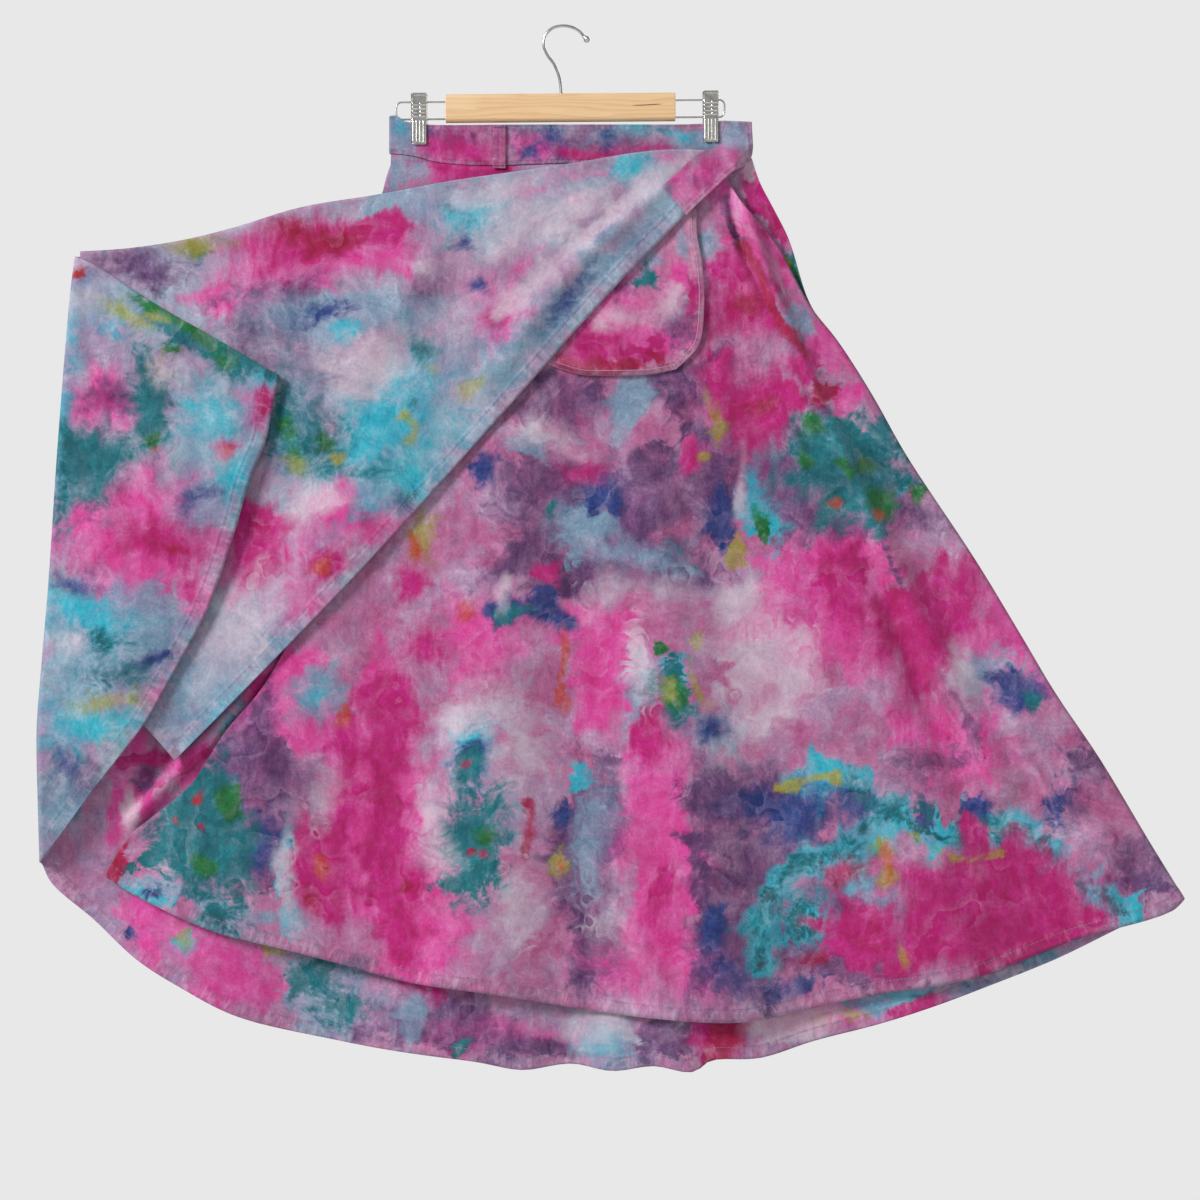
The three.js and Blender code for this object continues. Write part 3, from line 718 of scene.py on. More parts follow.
# The under front's dyes, with painted shade along the bright fold's trough and a painted highlight on
# its lit flank
FRONT_DYES_AND_FOLD_SHADE = {
    "pink": [(838, 606, 74, 72), (740, 206, 18, 40, -28), (762, 250, 34, 55, 60),
        (830, 345, 18, 28, -60), (848, 393, 13, 14), (483, 637, 40, 36), (604, 670, 32, 58),
        (656, 817, 36, 90), (668, 920, 28, 70), (375, 800, 50, 140), (610, 960, 50, 34, 0, 0.8),
        (1000, 640, 40, 44), (420, 930, 44, 60), (600, 620, 50, 26), (926, 722, 30, 22),
        (285, 702, 58, 44), (960, 760, 50, 50, 0, 0.7), (440, 172, 18, 14), (800, 560, 40, 30),
        (700, 970, 24, 30)],
    # The first two mauve runs are painted shade: a dark line along the bright fold's trough, from (728,
    # 196) on down to (975, 760)
    "mauve": [([(728, 196), (737, 232), (745, 252), (755, 267), (769, 287), (779, 305)], 4, 0.9),
        ([(779, 305), (800, 350), (840, 440), (880, 540), (940, 660), (975, 760)], 7, 0.6),
        (610, 500, 104, 44, 4), (562, 545, 62, 44), (262, 800, 50, 90, -8, 1.1), (555, 572, 30, 24),
        (700, 470, 40, 50), (760, 832, 70, 70), (740, 920, 48, 90), (825, 935, 56, 50),
        (930, 766, 70, 26, 0, 0.55), (1080, 780, 30, 60, 20, 0.6), (1135, 875, 36, 44, 30, 0.75),
        (870, 950, 36, 36), (560, 400, 60, 36, 0, 0.8), (640, 562, 72, 34, 0, 0.85),
        (585, 862, 34, 126, 0, 0.85), (820, 480, 90, 60), (690, 380, 60, 40, 0, 0.8),
        (400, 990, 90, 14, 14, 0.8), (1060, 960, 50, 20, -20, 0.8)],
    "slate": [(402, 172, 22, 16), (712, 247, 13, 18), (801, 319, 13, 15), (628, 402, 16, 28),
        (323, 692, 28, 24), (225, 915, 40, 24, 20), (584, 532, 32, 28, 20, 0.85), (477, 728, 22, 14),
        (980, 670, 40, 24, 0, 0.8), (640, 555, 60, 18, 0, 0.75), (800, 440, 60, 26, 0, 0.7),
        (530, 446, 22, 12), (712, 735, 26, 18), (640, 690, 24, 56, 0, 0.7), (590, 830, 20, 80, 0, 0.7),
        (150, 890, 30, 14, 20)],
    "aqua": [([(800, 780), (849, 782), (866, 804), (890, 814), (915, 826), (950, 836), (985, 834),
        (1022, 836), (1048, 852), (1080, 880), (1108, 902), (1122, 920)], 15, 1.15), ([(876, 820),
        (849, 846), (816, 860), (788, 884), (772, 903), (764, 928), (760, 958)], 13, 1.1), ([(878, 834),
        (862, 872), (872, 900), (892, 916)], 10, 1.1), (805, 915, 38, 26, 0, 0.8), (895, 806, 16, 10),
        (904, 480, 9, 9), (577, 780, 12, 14), (757, 512, 18, 42, 0, 0.85), (288, 888, 12, 56, 0, 0.8),
        (668, 690, 22, 28), (472, 762, 20, 30, 0, 0.8), (478, 840, 32, 46, 0, 0.7),
        (323, 690, 22, 16, 0, 0.5), (200, 810, 36, 30, 0, 0.7), (142, 896, 28, 11, 20, 0.8)],
    "violet": [(484, 470, 14, 17), (726, 526, 14, 30), (549, 604, 15, 22), ([(489, 606), (525, 614),
        (562, 622)], 8), (472, 763, 15, 18), (1017, 690, 24, 15), (854, 808, 17, 17),
        (926, 814, 12, 13), (981, 812, 14, 14), (786, 812, 46, 30, 0, 0.85), (716, 925, 12, 30, 0, 0.9),
        (728, 970, 22, 34, 0, 0.6), (800, 985, 40, 12, 0, 0.8), (560, 813, 9, 15),
        (600, 500, 24, 20, 0, 0.8), (708, 732, 16, 12, 0, 0.9), (262, 842, 18, 32, 0, 0.85),
        (150, 894, 24, 9, 15, 0.5), (1050, 800, 16, 26, 20, 0.7)],
    "teal": [(848, 468, 56, 50, 0, 1.15), (546, 503, 4, 9, 20), (668, 692, 20, 24, 0, 1.1),
        (472, 840, 24, 44, 0, 1.2), (198, 828, 46, 66, 0, 1.2), (1031, 697, 9, 8),
        (460, 878, 28, 10, -20), (514, 615, 18, 7), ([(850, 784), (866, 804), (890, 814), (915, 826),
        (950, 836), (985, 834), (1022, 836), (1048, 852), (1080, 880), (1108, 902),
        (1122, 920)], 12, 0.6), ([(876, 820), (849, 846), (816, 860), (788, 884), (772, 903),
        (764, 928), (760, 958)], 12, 0.6), (800, 915, 36, 26, 0, 0.6), (930, 810, 30, 14, 20, 0.6),
        (472, 770, 13, 17, 0, 1.1), (219, 904, 34, 28, 20, 0.8), (222, 880, 30, 20, 0, 0.8)],
    "magenta": [(745, 303, 36, 36), (779, 258, 8, 7, 0, 0.8), (762, 236, 6, 5, 0, 0.7),
        (799, 364, 14, 20), (700, 318, 24, 16, 0, 0.8), (754, 415, 42, 40), (722, 376, 26, 30, 0, 0.8),
        (408, 583, 13, 18), (848, 580, 24, 36), (896, 630, 26, 30), (930, 620, 40, 66, 20),
        (351, 760, 12, 30), (324, 868, 30, 48), (409, 890, 13, 24), (990, 910, 100, 66),
        (860, 930, 50, 40, 0, 0.85), (1060, 880, 40, 30, 0, 0.8), (430, 650, 30, 24, 0, 0.75),
        (650, 730, 20, 30, 0, 0.8), (478, 170, 42, 14), (554, 570, 18, 18, 0, 0.85),
        (660, 900, 14, 60, 0, 0.7), (580, 470, 30, 14, 0, 0.7), (690, 450, 14, 18, 0, 0.8),
        ([(398, 690), (388, 760), (380, 830), (392, 890), (404, 950)], 20, 0.95), ([(352, 720),
        (344, 790), (334, 850), (330, 910)], 13, 0.85), (372, 700, 24, 34, 0, 0.8)],
    # The wine run from (744, 250) to (802, 352) is painted shade in the bright fold's trough
    "wine": [(812, 962, 34, 14, 0, 0.6), ([(744, 250), (756, 272), (770, 294), (786, 320),
        (802, 352)], 4.5, 0.9), (822, 392, 18, 16, 0, 0.8), (852, 868, 26, 14, 0, 0.7),
        (114, 862, 11, 18), (310, 904, 7, 9, 0, 0.9), ([(524, 802), (526, 835), (522, 868)], 5, 0.9),
        (748, 300, 18, 14, 0, 0.9), (868, 945, 22, 24, 0, 0.5), (760, 408, 20, 12, 0, 0.75),
        (406, 890, 5, 7), (466, 769, 4, 4), (469, 846, 4, 4), (480, 849, 4, 4),
        (202, 796, 6, 8, 0, 0.7), (178, 824, 5, 6, 0, 0.7), (204, 824, 6, 6, 0, 0.7)],
    "green": [(815, 423, 11, 9), (808, 456, 7, 7), (842, 464, 7, 7), (847, 477, 6, 6),
        (923, 491, 9, 10), (664, 653, 8, 8), (673, 692, 15, 13), (483, 833, 8, 8), (233, 802, 12, 13),
        (200, 868, 12, 10), (880, 500, 16, 12), (865, 470, 10, 8), (760, 520, 6, 20, 0, 0.9)],
    "lemon": [(714, 420, 7, 22), (699, 451, 6, 6), (421, 530, 17, 24, 0, 0.85), ([(778, 784),
        (805, 780), (830, 782)], 3.5), ([(880, 846), (888, 862), (890, 884)], 5, 0.9), ([(900, 832),
        (950, 852), (1000, 858)], 3, 0.8), (900, 952, 6, 12), (738, 548, 6, 14),
        (700, 690, 6, 24, -20, 0.8), (563, 868, 9, 13), (733, 565, 9, 8), (668, 690, 9, 9, 0, 0.9),
        (700, 640, 5, 10)],
    "orange": [(464, 607, 10, 12, 0, 0.85), (560, 653, 5, 28, 0, 0.9), (563, 692, 6, 12),
        (348, 719, 7, 13), (326, 868, 7, 13), ([(884, 850), (890, 866), (892, 884)], 3.5, 0.9),
        (905, 950, 4, 9), (565, 869, 5, 8, 0, 0.8), (178, 824, 7, 6, 0, 0.6), (202, 796, 6, 8, 0, 0.55),
        (831, 508, 6, 5), (873, 511, 6, 5), (412, 545, 7, 16), (572, 700, 5, 10)],
    # The first pale run, from (738, 212) to (790, 294), is a painted highlight on the bright fold's lit
    # flank
    "pale": [([(738, 212), (752, 238), (770, 266), (790, 294)], 8, 0.45), (544, 436, 46, 20, 8, 0.68),
        (504, 595, 9, 17, 0, 0.85), (637, 660, 16, 50, 0, 0.8), (480, 711, 44, 30, 0, 0.75),
        (765, 670, 62, 84, 0, 0.62), (735, 610, 30, 31, 0, 0.7), (964, 672, 16, 30, 0, 0.8),
        (315, 802, 20, 38, 0, 0.65), (288, 880, 14, 62, 0, 0.7), (436, 835, 19, 62, 0, 0.75),
        (520, 900, 24, 66, 0, 0.65), (620, 590, 60, 22, 0, 0.6), (524, 740, 30, 46, 0, 0.65),
        (745, 500, 8, 26, 0, 0.8), (600, 930, 30, 50, 0, 0.6)],
}
LINES.update({"front_hem": smooth_line(FRONT_HEM), "front_left": smooth_line(FRONT_LEFT[7:])})


def front_depth(at):
    clear = step(-200, -330, at.z)
    held = mix(1, step(6, 44, at.to("right_side")), clear)
    y = front_middle(at) + folds(FRONT_FOLDS, at) * held
    joint = (back_middle(at) + front_middle(at)) / 2
    y = y + quarter(at.to("front_right"), mix(2, joint - y - JOINT, clear))
    return y + quarter(at.to("front_left"), 3)


front = Cloth(
    "under_front_cloth", [FRONT_TOP, FRONT_HEM, FRONT_LEFT, FRONT_RIGHT], 216, 172, front_depth,
    near_ends, even,
)
front.hem(["front_hem"], HEM_WIDTH, turned_hem)
front.dye(soak(front.at, FRONT_DYES_AND_FOLD_SHADE))
front.wall(WALL, HEM_WALL)
front.mesh.materials.append(dyed_cotton("dyed_front", "B26A94", "A888A6", 3.7))
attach(front.object, "root")
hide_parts("front_panel")


# ------------------------------------------------------------ over front
# The wrap's outer front, turned back over the upper fold so that its inside shows. Its
# straight front edge is hemmed and falls across the under front.
OVER_HIDDEN = [(-484, -225), (-476, -300), (-468, -420), (-460, -540), (-447, -640), (-430, -688)]
OVER_HEM = [(-430, -688), (-419, -699), (-404, -716), (-389, -734)]
OVER_FOLDS = [
    (98, -163, 0, -250, 7, 11, 2.5, 5), (0, -250, -79, -359, 11, 15, 5, 3),
    (112, -184, 24, -266, 5, 8, -0.8, -1.4), (60, -170, -60, -290, 9, 14, -0.8, -1.6),
    (-100, -180, -250, -420, 12, 20, 1, 3.5), (-220, -230, -330, -460, 14, 22, -0.5, -1.6),
    (-460, -232, -300, -236, 4, 8, -0.8, -0.5), (-200, -500, -330, -640, 10, 18, 1.0, 1.6),
]
LINES["over_hem"] = smooth_line(OVER_HEM)


def over_depth(at):
    y = over_middle(at) + folds(OVER_FOLDS, at) * step(0, 30, at.to("upper_fold"))
    joint = (back_middle(at) + over_middle(at)) / 2
    return y + quarter(at.to("upper_fold"), mix(1.6, joint - y - JOINT / 2, is_outer(at)))


over = Cloth(
    "over_front_cloth", [UPPER_FOLD, OVER_HEM, OVER_HIDDEN, OVER_EDGE], 150, 130, over_depth,
    even, lambda s: s * s * (1.5 - 0.5 * s),
)
over.hem(["over_edge", "over_hem"], HEM_WIDTH, turned_hem)
over.dye(soak(over.at, OVER_DYES))
over.wall(WALL, HEM_WALL)
over.mesh.materials.append(dyed_cotton("dyed_over", "A98EA8", "97A4B6", 0.0, 0.45))
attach(over.object, "root")
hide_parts("over_front")


# ------------------------------------------------------------ side turn
# The over front's far side, turned forward a second time over the left fold, right side out,
# with its own hemmed edge. The layers are drawn together at its upper left corner.
SIDE_EDGE = [
    (-283, -351), (-289, -378), (-296, -415), (-312, -454), (-326, -502), (-342, -550), (-356, -586),
    (-374, -620), (-392, -652), (-419, -699), (-451, -740), (-473, -768), (-501, -806),
]
SIDE_HEM = [(-524, -836), (-516, -828), (-501, -806)]
SIDE_FOLDS = [
    (-478, -240, -420, -330, 4, 12, 1.4, 1.2), (-480, -246, -466, -390, 4, 12, -1.2, -1.2),
    (-462, -244, -350, -330, 4, 9, -0.8, -1.0), (-440, -262, -330, -400, 6, 16, 0.6, 1.6),
    (-500, -420, -420, -520, 9, 14, 1.0, 1.4), (-505, -560, -400, -640, 10, 14, -1.0, -1.4),
    (-510, -640, -440, -720, 10, 14, 1.2, 1.6),
]
LINES["side_edge"] = smooth_line(SIDE_EDGE)


def side_depth(at):
    y = side_middle(at) + folds(SIDE_FOLDS, at) * step(0, 24, at.to("side_top"))
    joint = (back_middle(at) + side_middle(at)) / 2
    turn = quarter(at.to("left_fold"), joint - y - JOINT / 2)
    return y + np.maximum(turn, quarter(at.to("side_top"), 2.4))


side = Cloth(
    "side_turn_cloth", [SIDE_TOP, SIDE_HEM, LEFT_FOLD, SIDE_EDGE], 92, 150, side_depth,
    lambda s: s * s * (1.4 - 0.4 * s), near_top,
)
side.hem(["side_edge"], HEM_WIDTH, turned_hem)
side.dye(soak(side.at, SIDE_DYES))
side.wall(WALL, HEM_WALL)
side.mesh.materials.append(dyed_cotton("dyed_side", "A08CA8", "86A2AC", 0.0, 0.4))
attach(side.object, "root")
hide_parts("side_turn")


# ------------------------------------------------------------ waistband
# A straight doubled band of the same cotton, stitched near both edges. Its two runs lie either
# side of the clips' rails, meet round the left end, and go on into the skirt at the waist seam.
BAND_TOP = [
    (-174, -89), (-167, -89), (-160, -94), (-152, -96), (-134, -98), (-60, -97.8), (60, -97.6),
    (137, -97), (158, -94), (164, -94), (188, -95),
]
BAND_END = -174  # where the two runs meet
BAND_LEFT, BAND_RIGHT = [(BAND_END, -89), (BAND_END, -127)], [(188, -95), (188, -127)]
BAND_WALL = 2.0
BAND_DYES = {
    "pink": [(455, 140, 46, 24, 0, 0.8), (540, 150, 30, 14, 0, 0.8), (600, 154, 30, 9, 0, 0.7)],
    "mauve": [(450, 138, 40, 18, 0, 0.7), (522, 128, 24, 16, 0, 0.8), (600, 138, 60, 18, 0, 0.75)],
    "slate": [(398, 134, 13, 30), (560, 128, 34, 9, 0, 0.7), (640, 130, 56, 10, 0, 0.8),
        (690, 148, 34, 16), (742, 135, 16, 24)],
    "aqua": [(636, 128, 14, 9, 0, 0.7), (678, 134, 20, 9, 0, 0.75), (396, 126, 8, 12, 0, 0.7)],
    "violet": [(556, 142, 13, 18, 0, 0.8), (536, 156, 12, 8, 0, 0.7), (614, 140, 8, 18, 0, 0.6),
        (424, 130, 10, 8, 0, 0.6)],
    "teal": [(652, 132, 12, 7, 0, 0.6), (560, 150, 8, 8, 0, 0.5)],
    "magenta": [(456, 146, 36, 14, 0, 0.8), (430, 152, 14, 8, 0, 0.7), (600, 152, 44, 8, 0, 0.8),
        (655, 152, 24, 6, 0, 0.7)],
}
LINES.update({
    "band_top": smooth_line(BAND_TOP), "band_seam": smooth_line(BAND_SEAM),
    "band_right": smooth_line(BAND_RIGHT),
})


def round_edge(away):
    """A doubled edge: thin where it turns, full from 1.4 mm in."""
    return np.sqrt(np.maximum(0.05, 1 - (1 - clamp(away / 1.4)) ** 2))


def band_wave(at):
    """How far a run lies from the rails, with its slack and the puckers of its seams."""
    seam = np.sin(at.x / 1.9 + 2 * np.sin(at.x / 13)) * step(9, 2, at.to("band_seam"))
    top = np.sin(at.x / 2.3 + 2 * np.sin(at.x / 17)) * step(8, 2, at.to("band_top"))
    slack = 0.35 * np.sin(at.x / 21 + at.z / 9)
    return BAND_Y + (slack + 0.28 * seam + 0.2 * top) * step(BAND_END, -150, at.x)


for node, sign in (("waistband_front", -1), ("waistband_back", 1)):

    def band_depth(at):
        y = band_wave(at)
        return sign * (y - quarter(at.x - BAND_END, y - JOINT / 2 - 0.4))

    name = node + "_run"
    band = Cloth(
        name, [BAND_TOP, BAND_SEAM, BAND_LEFT, BAND_RIGHT], 300, 34, band_depth,
        lambda s: near_ends(s, 0.6), near_ends,
    )
    band.hem(["band_top", "band_seam"], 3, round_edge)
    band.dye(soak(band.at, BAND_DYES))
    band.wall(0, BAND_WALL)
    band.mesh.materials.append(dyed_cotton(name + "_dyed", "AC7D9C", "A07FA0", 3.7, 0.6))
    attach(band.object, "root")
    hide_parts(node)


# ------------------------------------------------------------ waistband end
# The band's free end, folded over to the front at the upper right and stitched along its top and
# right side. It carries on down over the first part of the over front's hem, past a short double seam.
END_TOP = [(164, -95), (188, -96)]
END_RIGHT = [
    (188, -96), (188, -130), (181, -138), (168, -147), (149, -164.5), (135, -177.5), (122.5, -190),
]
END_LEFT = [(164, -95), (159, -107), (157, -119), (134, -129), (116, -145), (98, -162)]
END_BOTTOM = [(98, -162), (109, -174), (122.5, -190)]
END_SEAM = [(149, -116), (160, -134), (165, -143)]
END_WALL = 1.3
END_FOLDS = [
    (173, -97, 187, -125, 3, 4, 0.7, 0.9), (164, -98, 134, -128, 4, 5, 0.8, 1.2),
    (134, -128, 100, -162, 5, 4, 1.2, 0.6), (160, -120, 150, -146, 5, 7, -0.5, -0.6),
    (149, -116, 165, -143, 1.6, 1.6, -0.6, -0.6), (150, -150, 116, -182, 3, 3, 0.5, 0.4),
]
END_DYES = {
    "pink": [(700, 174, 48, 22, -40, 0.8), (734, 154, 10, 10, 0, 0.65)],
    "mauve": [(749, 136, 6, 24, 0, 0.6), (690, 182, 34, 10, -40, 0.45)],
    "slate": [(726, 131, 12, 14), (664, 196, 10, 12, 0, 0.8), (738, 142, 9, 10, 0, 0.8),
        (678, 212, 12, 8, 0, 0.6)],
    "magenta": [(700, 160, 14, 5, -40, 0.55)],
    "pale": [(741, 158, 8, 7, 0, 0.6)],
}
LINES.update({
    "end_top": smooth_line(END_TOP), "end_right": smooth_line(END_RIGHT),
    "end_seam": smooth_line(END_SEAM),
})


def end_depth(at):
    over_it = over_middle(at) + folds(OVER_FOLDS, at) - 2.1
    lift = step(-110, -126, at.z) * step(187, 168, at.x)
    tucked = step(9, 1, at.to("end_right")) * step(-120, -132, at.z) * step(171, 181, at.x)
    y = mix(-5.8, over_it, lift) + folds(END_FOLDS, at) * step(0, 4, at.to("end_right"))
    return mix(y, 0.6, tucked)


end = Cloth(
    "waistband_end_turned", [END_TOP, END_BOTTOM, END_LEFT, END_RIGHT], 60, 60, end_depth,
    near_ends, even,
)
end.hem(["end_top", "end_right"], 3, round_edge)
end.dye(soak(end.at, END_DYES))
end.wall(0, END_WALL)
end.mesh.materials.append(dyed_cotton("dyed_end", "A98AA6", "B483A0", 3.7, 0.6))
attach(end.object, "root")
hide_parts("waistband_end")


# ------------------------------------------------------------ belt loop
# One narrow loop of folded cotton, tacked down across the band at its top and its foot.
LOOP_LEFT, LOOP_RIGHT, LOOP_TOP, LOOP_FOOT = -71, -58, -98.6, -142
LOOP_WALL = 1.5
LINES["loop_left"] = smooth_line([(LOOP_LEFT, LOOP_TOP), (LOOP_LEFT, LOOP_FOOT)])
LINES["loop_right"] = smooth_line([(LOOP_RIGHT, LOOP_TOP), (LOOP_RIGHT, LOOP_FOOT)])


def loop_depth(at):
    rise = clamp((LOOP_TOP - at.z) / (LOOP_TOP - LOOP_FOOT))
    held = np.exp(-(((rise - 0.06) / 0.05) ** 2)) + np.exp(-(((rise - 0.94) / 0.05) ** 2))
    return -4.9 - 0.9 * np.sin(math.pi * rise) + 0.35 * held - 0.15 * np.sin(at.z / 3.1)


loop = Cloth(
    "belt_loop_strip",
    [[(LOOP_LEFT, LOOP_TOP), (LOOP_RIGHT, LOOP_TOP)], [(LOOP_LEFT, LOOP_FOOT), (LOOP_RIGHT, LOOP_FOOT)],
     [(LOOP_LEFT, LOOP_TOP), (LOOP_LEFT, LOOP_FOOT)], [(LOOP_RIGHT, LOOP_TOP), (LOOP_RIGHT, LOOP_FOOT)]],
    26, 60, loop_depth, near_ends, even,
)
loop.hem(["loop_left", "loop_right"], 2, round_edge)
loop.dye(soak(loop.at, BAND_DYES))
loop.wall(0, LOOP_WALL)
loop.mesh.materials.append(dyed_cotton("dyed_loop", "B0688F", "9E6D96", 1.3, 0.6))
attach(loop.object, "root")
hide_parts("belt_loop")


# ------------------------------------------------------------ pocket bag
# The inner pocket, a free-hanging bag of the same cotton seen from its wrong side. It hangs
# from the waist over the under front, and its edge is overlocked.
POCKET_HEM_WALL = 1.2
POCKET_TOP = [(20, -176), (70, -178), (130, -176)]
POCKET_FOOT = [(-16, -338), (16, -348), (36, -349), (85, -348), (112, -343)]
POCKET_LEFT = [(20, -176), (0, -260), (-16, -338)]
POCKET_RIGHT = [
    (130, -176), (132, -184), (133, -209), (138, -237), (140, -280), (135, -318), (123, -333),
    (112, -343),
]
POCKET_FOLDS = [
    (98, -224, 94, -262, 2.5, 3, 1.0, 0.6), (120, -190, 124, -300, 6, 10, 0.8, 1.0),
    (40, -240, 60, -340, 10, 14, 0.8, 1.4), (90, -270, 100, -340, 8, 12, -0.6, -1.0),
]
POCKET_DYES = {
    "pink": [(610, 300, 50, 40, 0, 0.7), (670, 280, 30, 50, 0, 0.6), (640, 340, 50, 20)],
    "mauve": [(600, 280, 24, 20), (680, 320, 16, 26, 0, 0.8)],
    "slate": [(640, 255, 20, 12, 0, 0.8), (684, 240, 10, 20, 0, 0.7)],
    "teal": [(644, 275, 9, 9)],
    "magenta": [(588, 350, 34, 22), (640, 360, 34, 12), (661, 341, 9, 9), (690, 300, 8, 20, 0, 0.8),
        (560, 330, 14, 14, 0, 0.8)],
    "wine": [(578, 362, 26, 9), (614, 368, 30, 6, 0, 0.9), (660, 360, 16, 8, 30, 0.8)],
    "pale": [(620, 320, 22, 14, 0, 0.7), (668, 300, 14, 20, 0, 0.7), (600, 330, 14, 10, 0, 0.7)],
}
LINES.update({"pocket_right": smooth_line(POCKET_RIGHT), "pocket_foot": smooth_line(POCKET_FOOT)})


def pocket_depth(at):
    return front_depth(at) - 3.6 + folds(POCKET_FOLDS, at)


pocket = Cloth(
    "pocket_bag_cloth", [POCKET_TOP, POCKET_FOOT, POCKET_LEFT, POCKET_RIGHT], 76, 84, pocket_depth,
    near_ends, even,
)
pocket.hem(["pocket_right", "pocket_foot"], 5, lambda away: 1 - step(4, 6, away))
pocket.dye(soak(pocket.at, POCKET_DYES))
pocket.wall(WALL, POCKET_HEM_WALL)
pocket.mesh.materials.append(dyed_cotton("dyed_pocket", "B5789A", "C08FAB", 5.1))
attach(pocket.object, "root")
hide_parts("pocket_bag")


# ------------------------------------------------------------ stitching
# Rows of fine cotton thread in the hems, the band, its end and the loop, with bar tacks across
# the loop, and a zigzag of overlock thread round the pocket bag.
THREAD, TACK_THREAD, OVERLOCK_THREAD = 0.17, 0.2, 0.26  # radii
OVERLOCK_BITE, OVERLOCK_PACE = 4.6, 1.1  # how far in the needle row is, and a zigzag's step


def beside(name, inward, start=0, end=1, pace=2.5):
    """Points of a row that keeps a distance to the left of a line."""
    line = LINES[name]
    count = max(2, int(run_of(line)[-1] * (end - start) / pace))
    x, z = along(line, np.linspace(start, end, count))
    dx, dz = np.gradient(x), np.gradient(z)
    long = np.hypot(dx, dz)
    return x - inward * dz / long, z + inward * dx / long


def laid(x, z, depth, lift):
    return np.stack([x, depth(Spots(x, z)) + lift, z], 1)


def to_mesh(shape):
    """A curve made into a mesh of its own name."""
    scene.collection.objects.link(shape)
    name, curve = shape.name, shape.data
    mesh = bpy.data.meshes.new_from_object(shape.evaluated_get(bpy.context.evaluated_depsgraph_get()))
    bpy.data.objects.remove(shape)
    bpy.data.curves.remove(curve)
    mesh.name = name
    made = bpy.data.objects.new(name, mesh)
    scene.collection.objects.link(made)
    for face in mesh.polygons:
        face.use_smooth = True
    return made


def tube(name, paths, radius, sides=1):
    """Wire or thread along paths of points in mm."""
    curve = bpy.data.curves.new(name, "CURVE")
    curve.dimensions, curve.bevel_depth, curve.bevel_resolution = "3D", radius * MM, sides
    curve.use_fill_caps = True
    for path in paths:
        spline = curve.splines.new("POLY")
        spline.points.add(len(path) - 1)
        points = np.hstack([np.asarray(path) * MM, np.ones((len(path), 1))])
        spline.points.foreach_set("co", points.ravel())
    return to_mesh(bpy.data.objects.new(name, curve))


def stitched(rows, way, stitch=2.8, gap=0.9):
    """Each row cut into stitches whose ends dip into the cloth; way is where the cloth lies."""
    made = []
    for row in rows:
        run = np.concatenate([[0], np.cumsum(np.linalg.norm(np.diff(row, axis=0), axis=1))])
        for start in np.arange(0, run[-1] - stitch, stitch + gap):
            at = start + stitch * np.array([0, 0.15, 0.5, 0.85, 1])
            path = np.stack([np.interp(at, run, row[:, k]) for k in range(3)], 1)
            path[:, 1] += way * np.array([0.45, 0.1, 0, 0.1, 0.45])
            made.append(path)
    return made


def thread_finish(name, twist, patch, fade, colours, bump, rough):
    """Twisted cotton thread that wanders between two colours."""
    finish, ink = new_finish(name)
    place = ink.node("TexCoord", out="Object")
    twist = place.noise(twist, 2)
    tint = place.noise(patch, 2).ease(*fade).between(*colours)
    height = ink.node("Bump", {}, {"Strength": 0.5, "Distance": bump, "Height": twist})
    return set_finish(finish, ink, Base_Color=tint, Roughness=twist * 0.2 + rough, Normal=height)


def sewn(name, paths, radius, finish):
    """Thread laid along paths, as a piece of its own."""
    made = tube(name, paths, radius)
    made.data.materials.append(finish)
    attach(made, "root")


thread = thread_finish(
    "cotton_thread", 0.0012, 0.03, (0.38, 0.62), ("B7799C", "9FA3B8"), 0.0002, 0.6
)
# How far in front of a piece's middle its stitches lie
FACE = -(HEM_WALL / 2 + 0.05)
BAND_FACE = -(BAND_WALL / 2 + 0.05)
END_FACE = -(END_WALL / 2 + 0.05)
LOOP_FACE = -(LOOP_WALL / 2 + 0.03)


def front_band_depth(at):
    return -band_wave(at)


SEWING = {
    "stitches_front_hem": [laid(*beside("front_hem", HEM_WIDTH, 0.01, 0.985), front_depth, FACE)],
    "stitches_back_hem": [laid(*beside("back_hem", HEM_WIDTH, 0.03, 0.975), back_depth, FACE)],
    "stitches_over_edge": [laid(*beside("over_edge", -HEM_WIDTH, 0.06, 0.985), over_depth, FACE)],
    "stitches_side_edge": [laid(*beside("side_edge", -HEM_WIDTH, 0.03, 0.97), side_depth, FACE)],
    "stitches_waistband": [
        laid(*beside("band_top", -3, 0.03, 0.93), front_band_depth, BAND_FACE),
        laid(*beside("band_seam", 3, 0.03, 0.93), front_band_depth, BAND_FACE),
    ],
    "stitches_band_end": [
        laid(*beside("end_right", -3, 0.02, 0.98), end_depth, END_FACE),
        laid(*beside("end_top", -3, 0.1, 0.9), end_depth, END_FACE),
        laid(*beside("end_seam", 0.8, 0.02, 0.98, 1.5), end_depth, END_FACE),
        laid(*beside("end_seam", -0.8, 0.02, 0.98, 1.5), end_depth, END_FACE),
    ],
    "stitches_belt_loop": [
        laid(*beside("loop_left", 2, 0.08, 0.92), loop_depth, LOOP_FACE),
        laid(*beside("loop_right", -2, 0.08, 0.92), loop_depth, LOOP_FACE),
    ],
}
for name, rows in SEWING.items():
    sewn(name, stitched(rows, 1), THREAD, thread)
back_row = laid(*beside("back_hem", HEM_WIDTH, 0.03, 0.975), back_depth, -FACE)
sewn("stitches_back_hem_outside", stitched([back_row], -1), THREAD, thread)

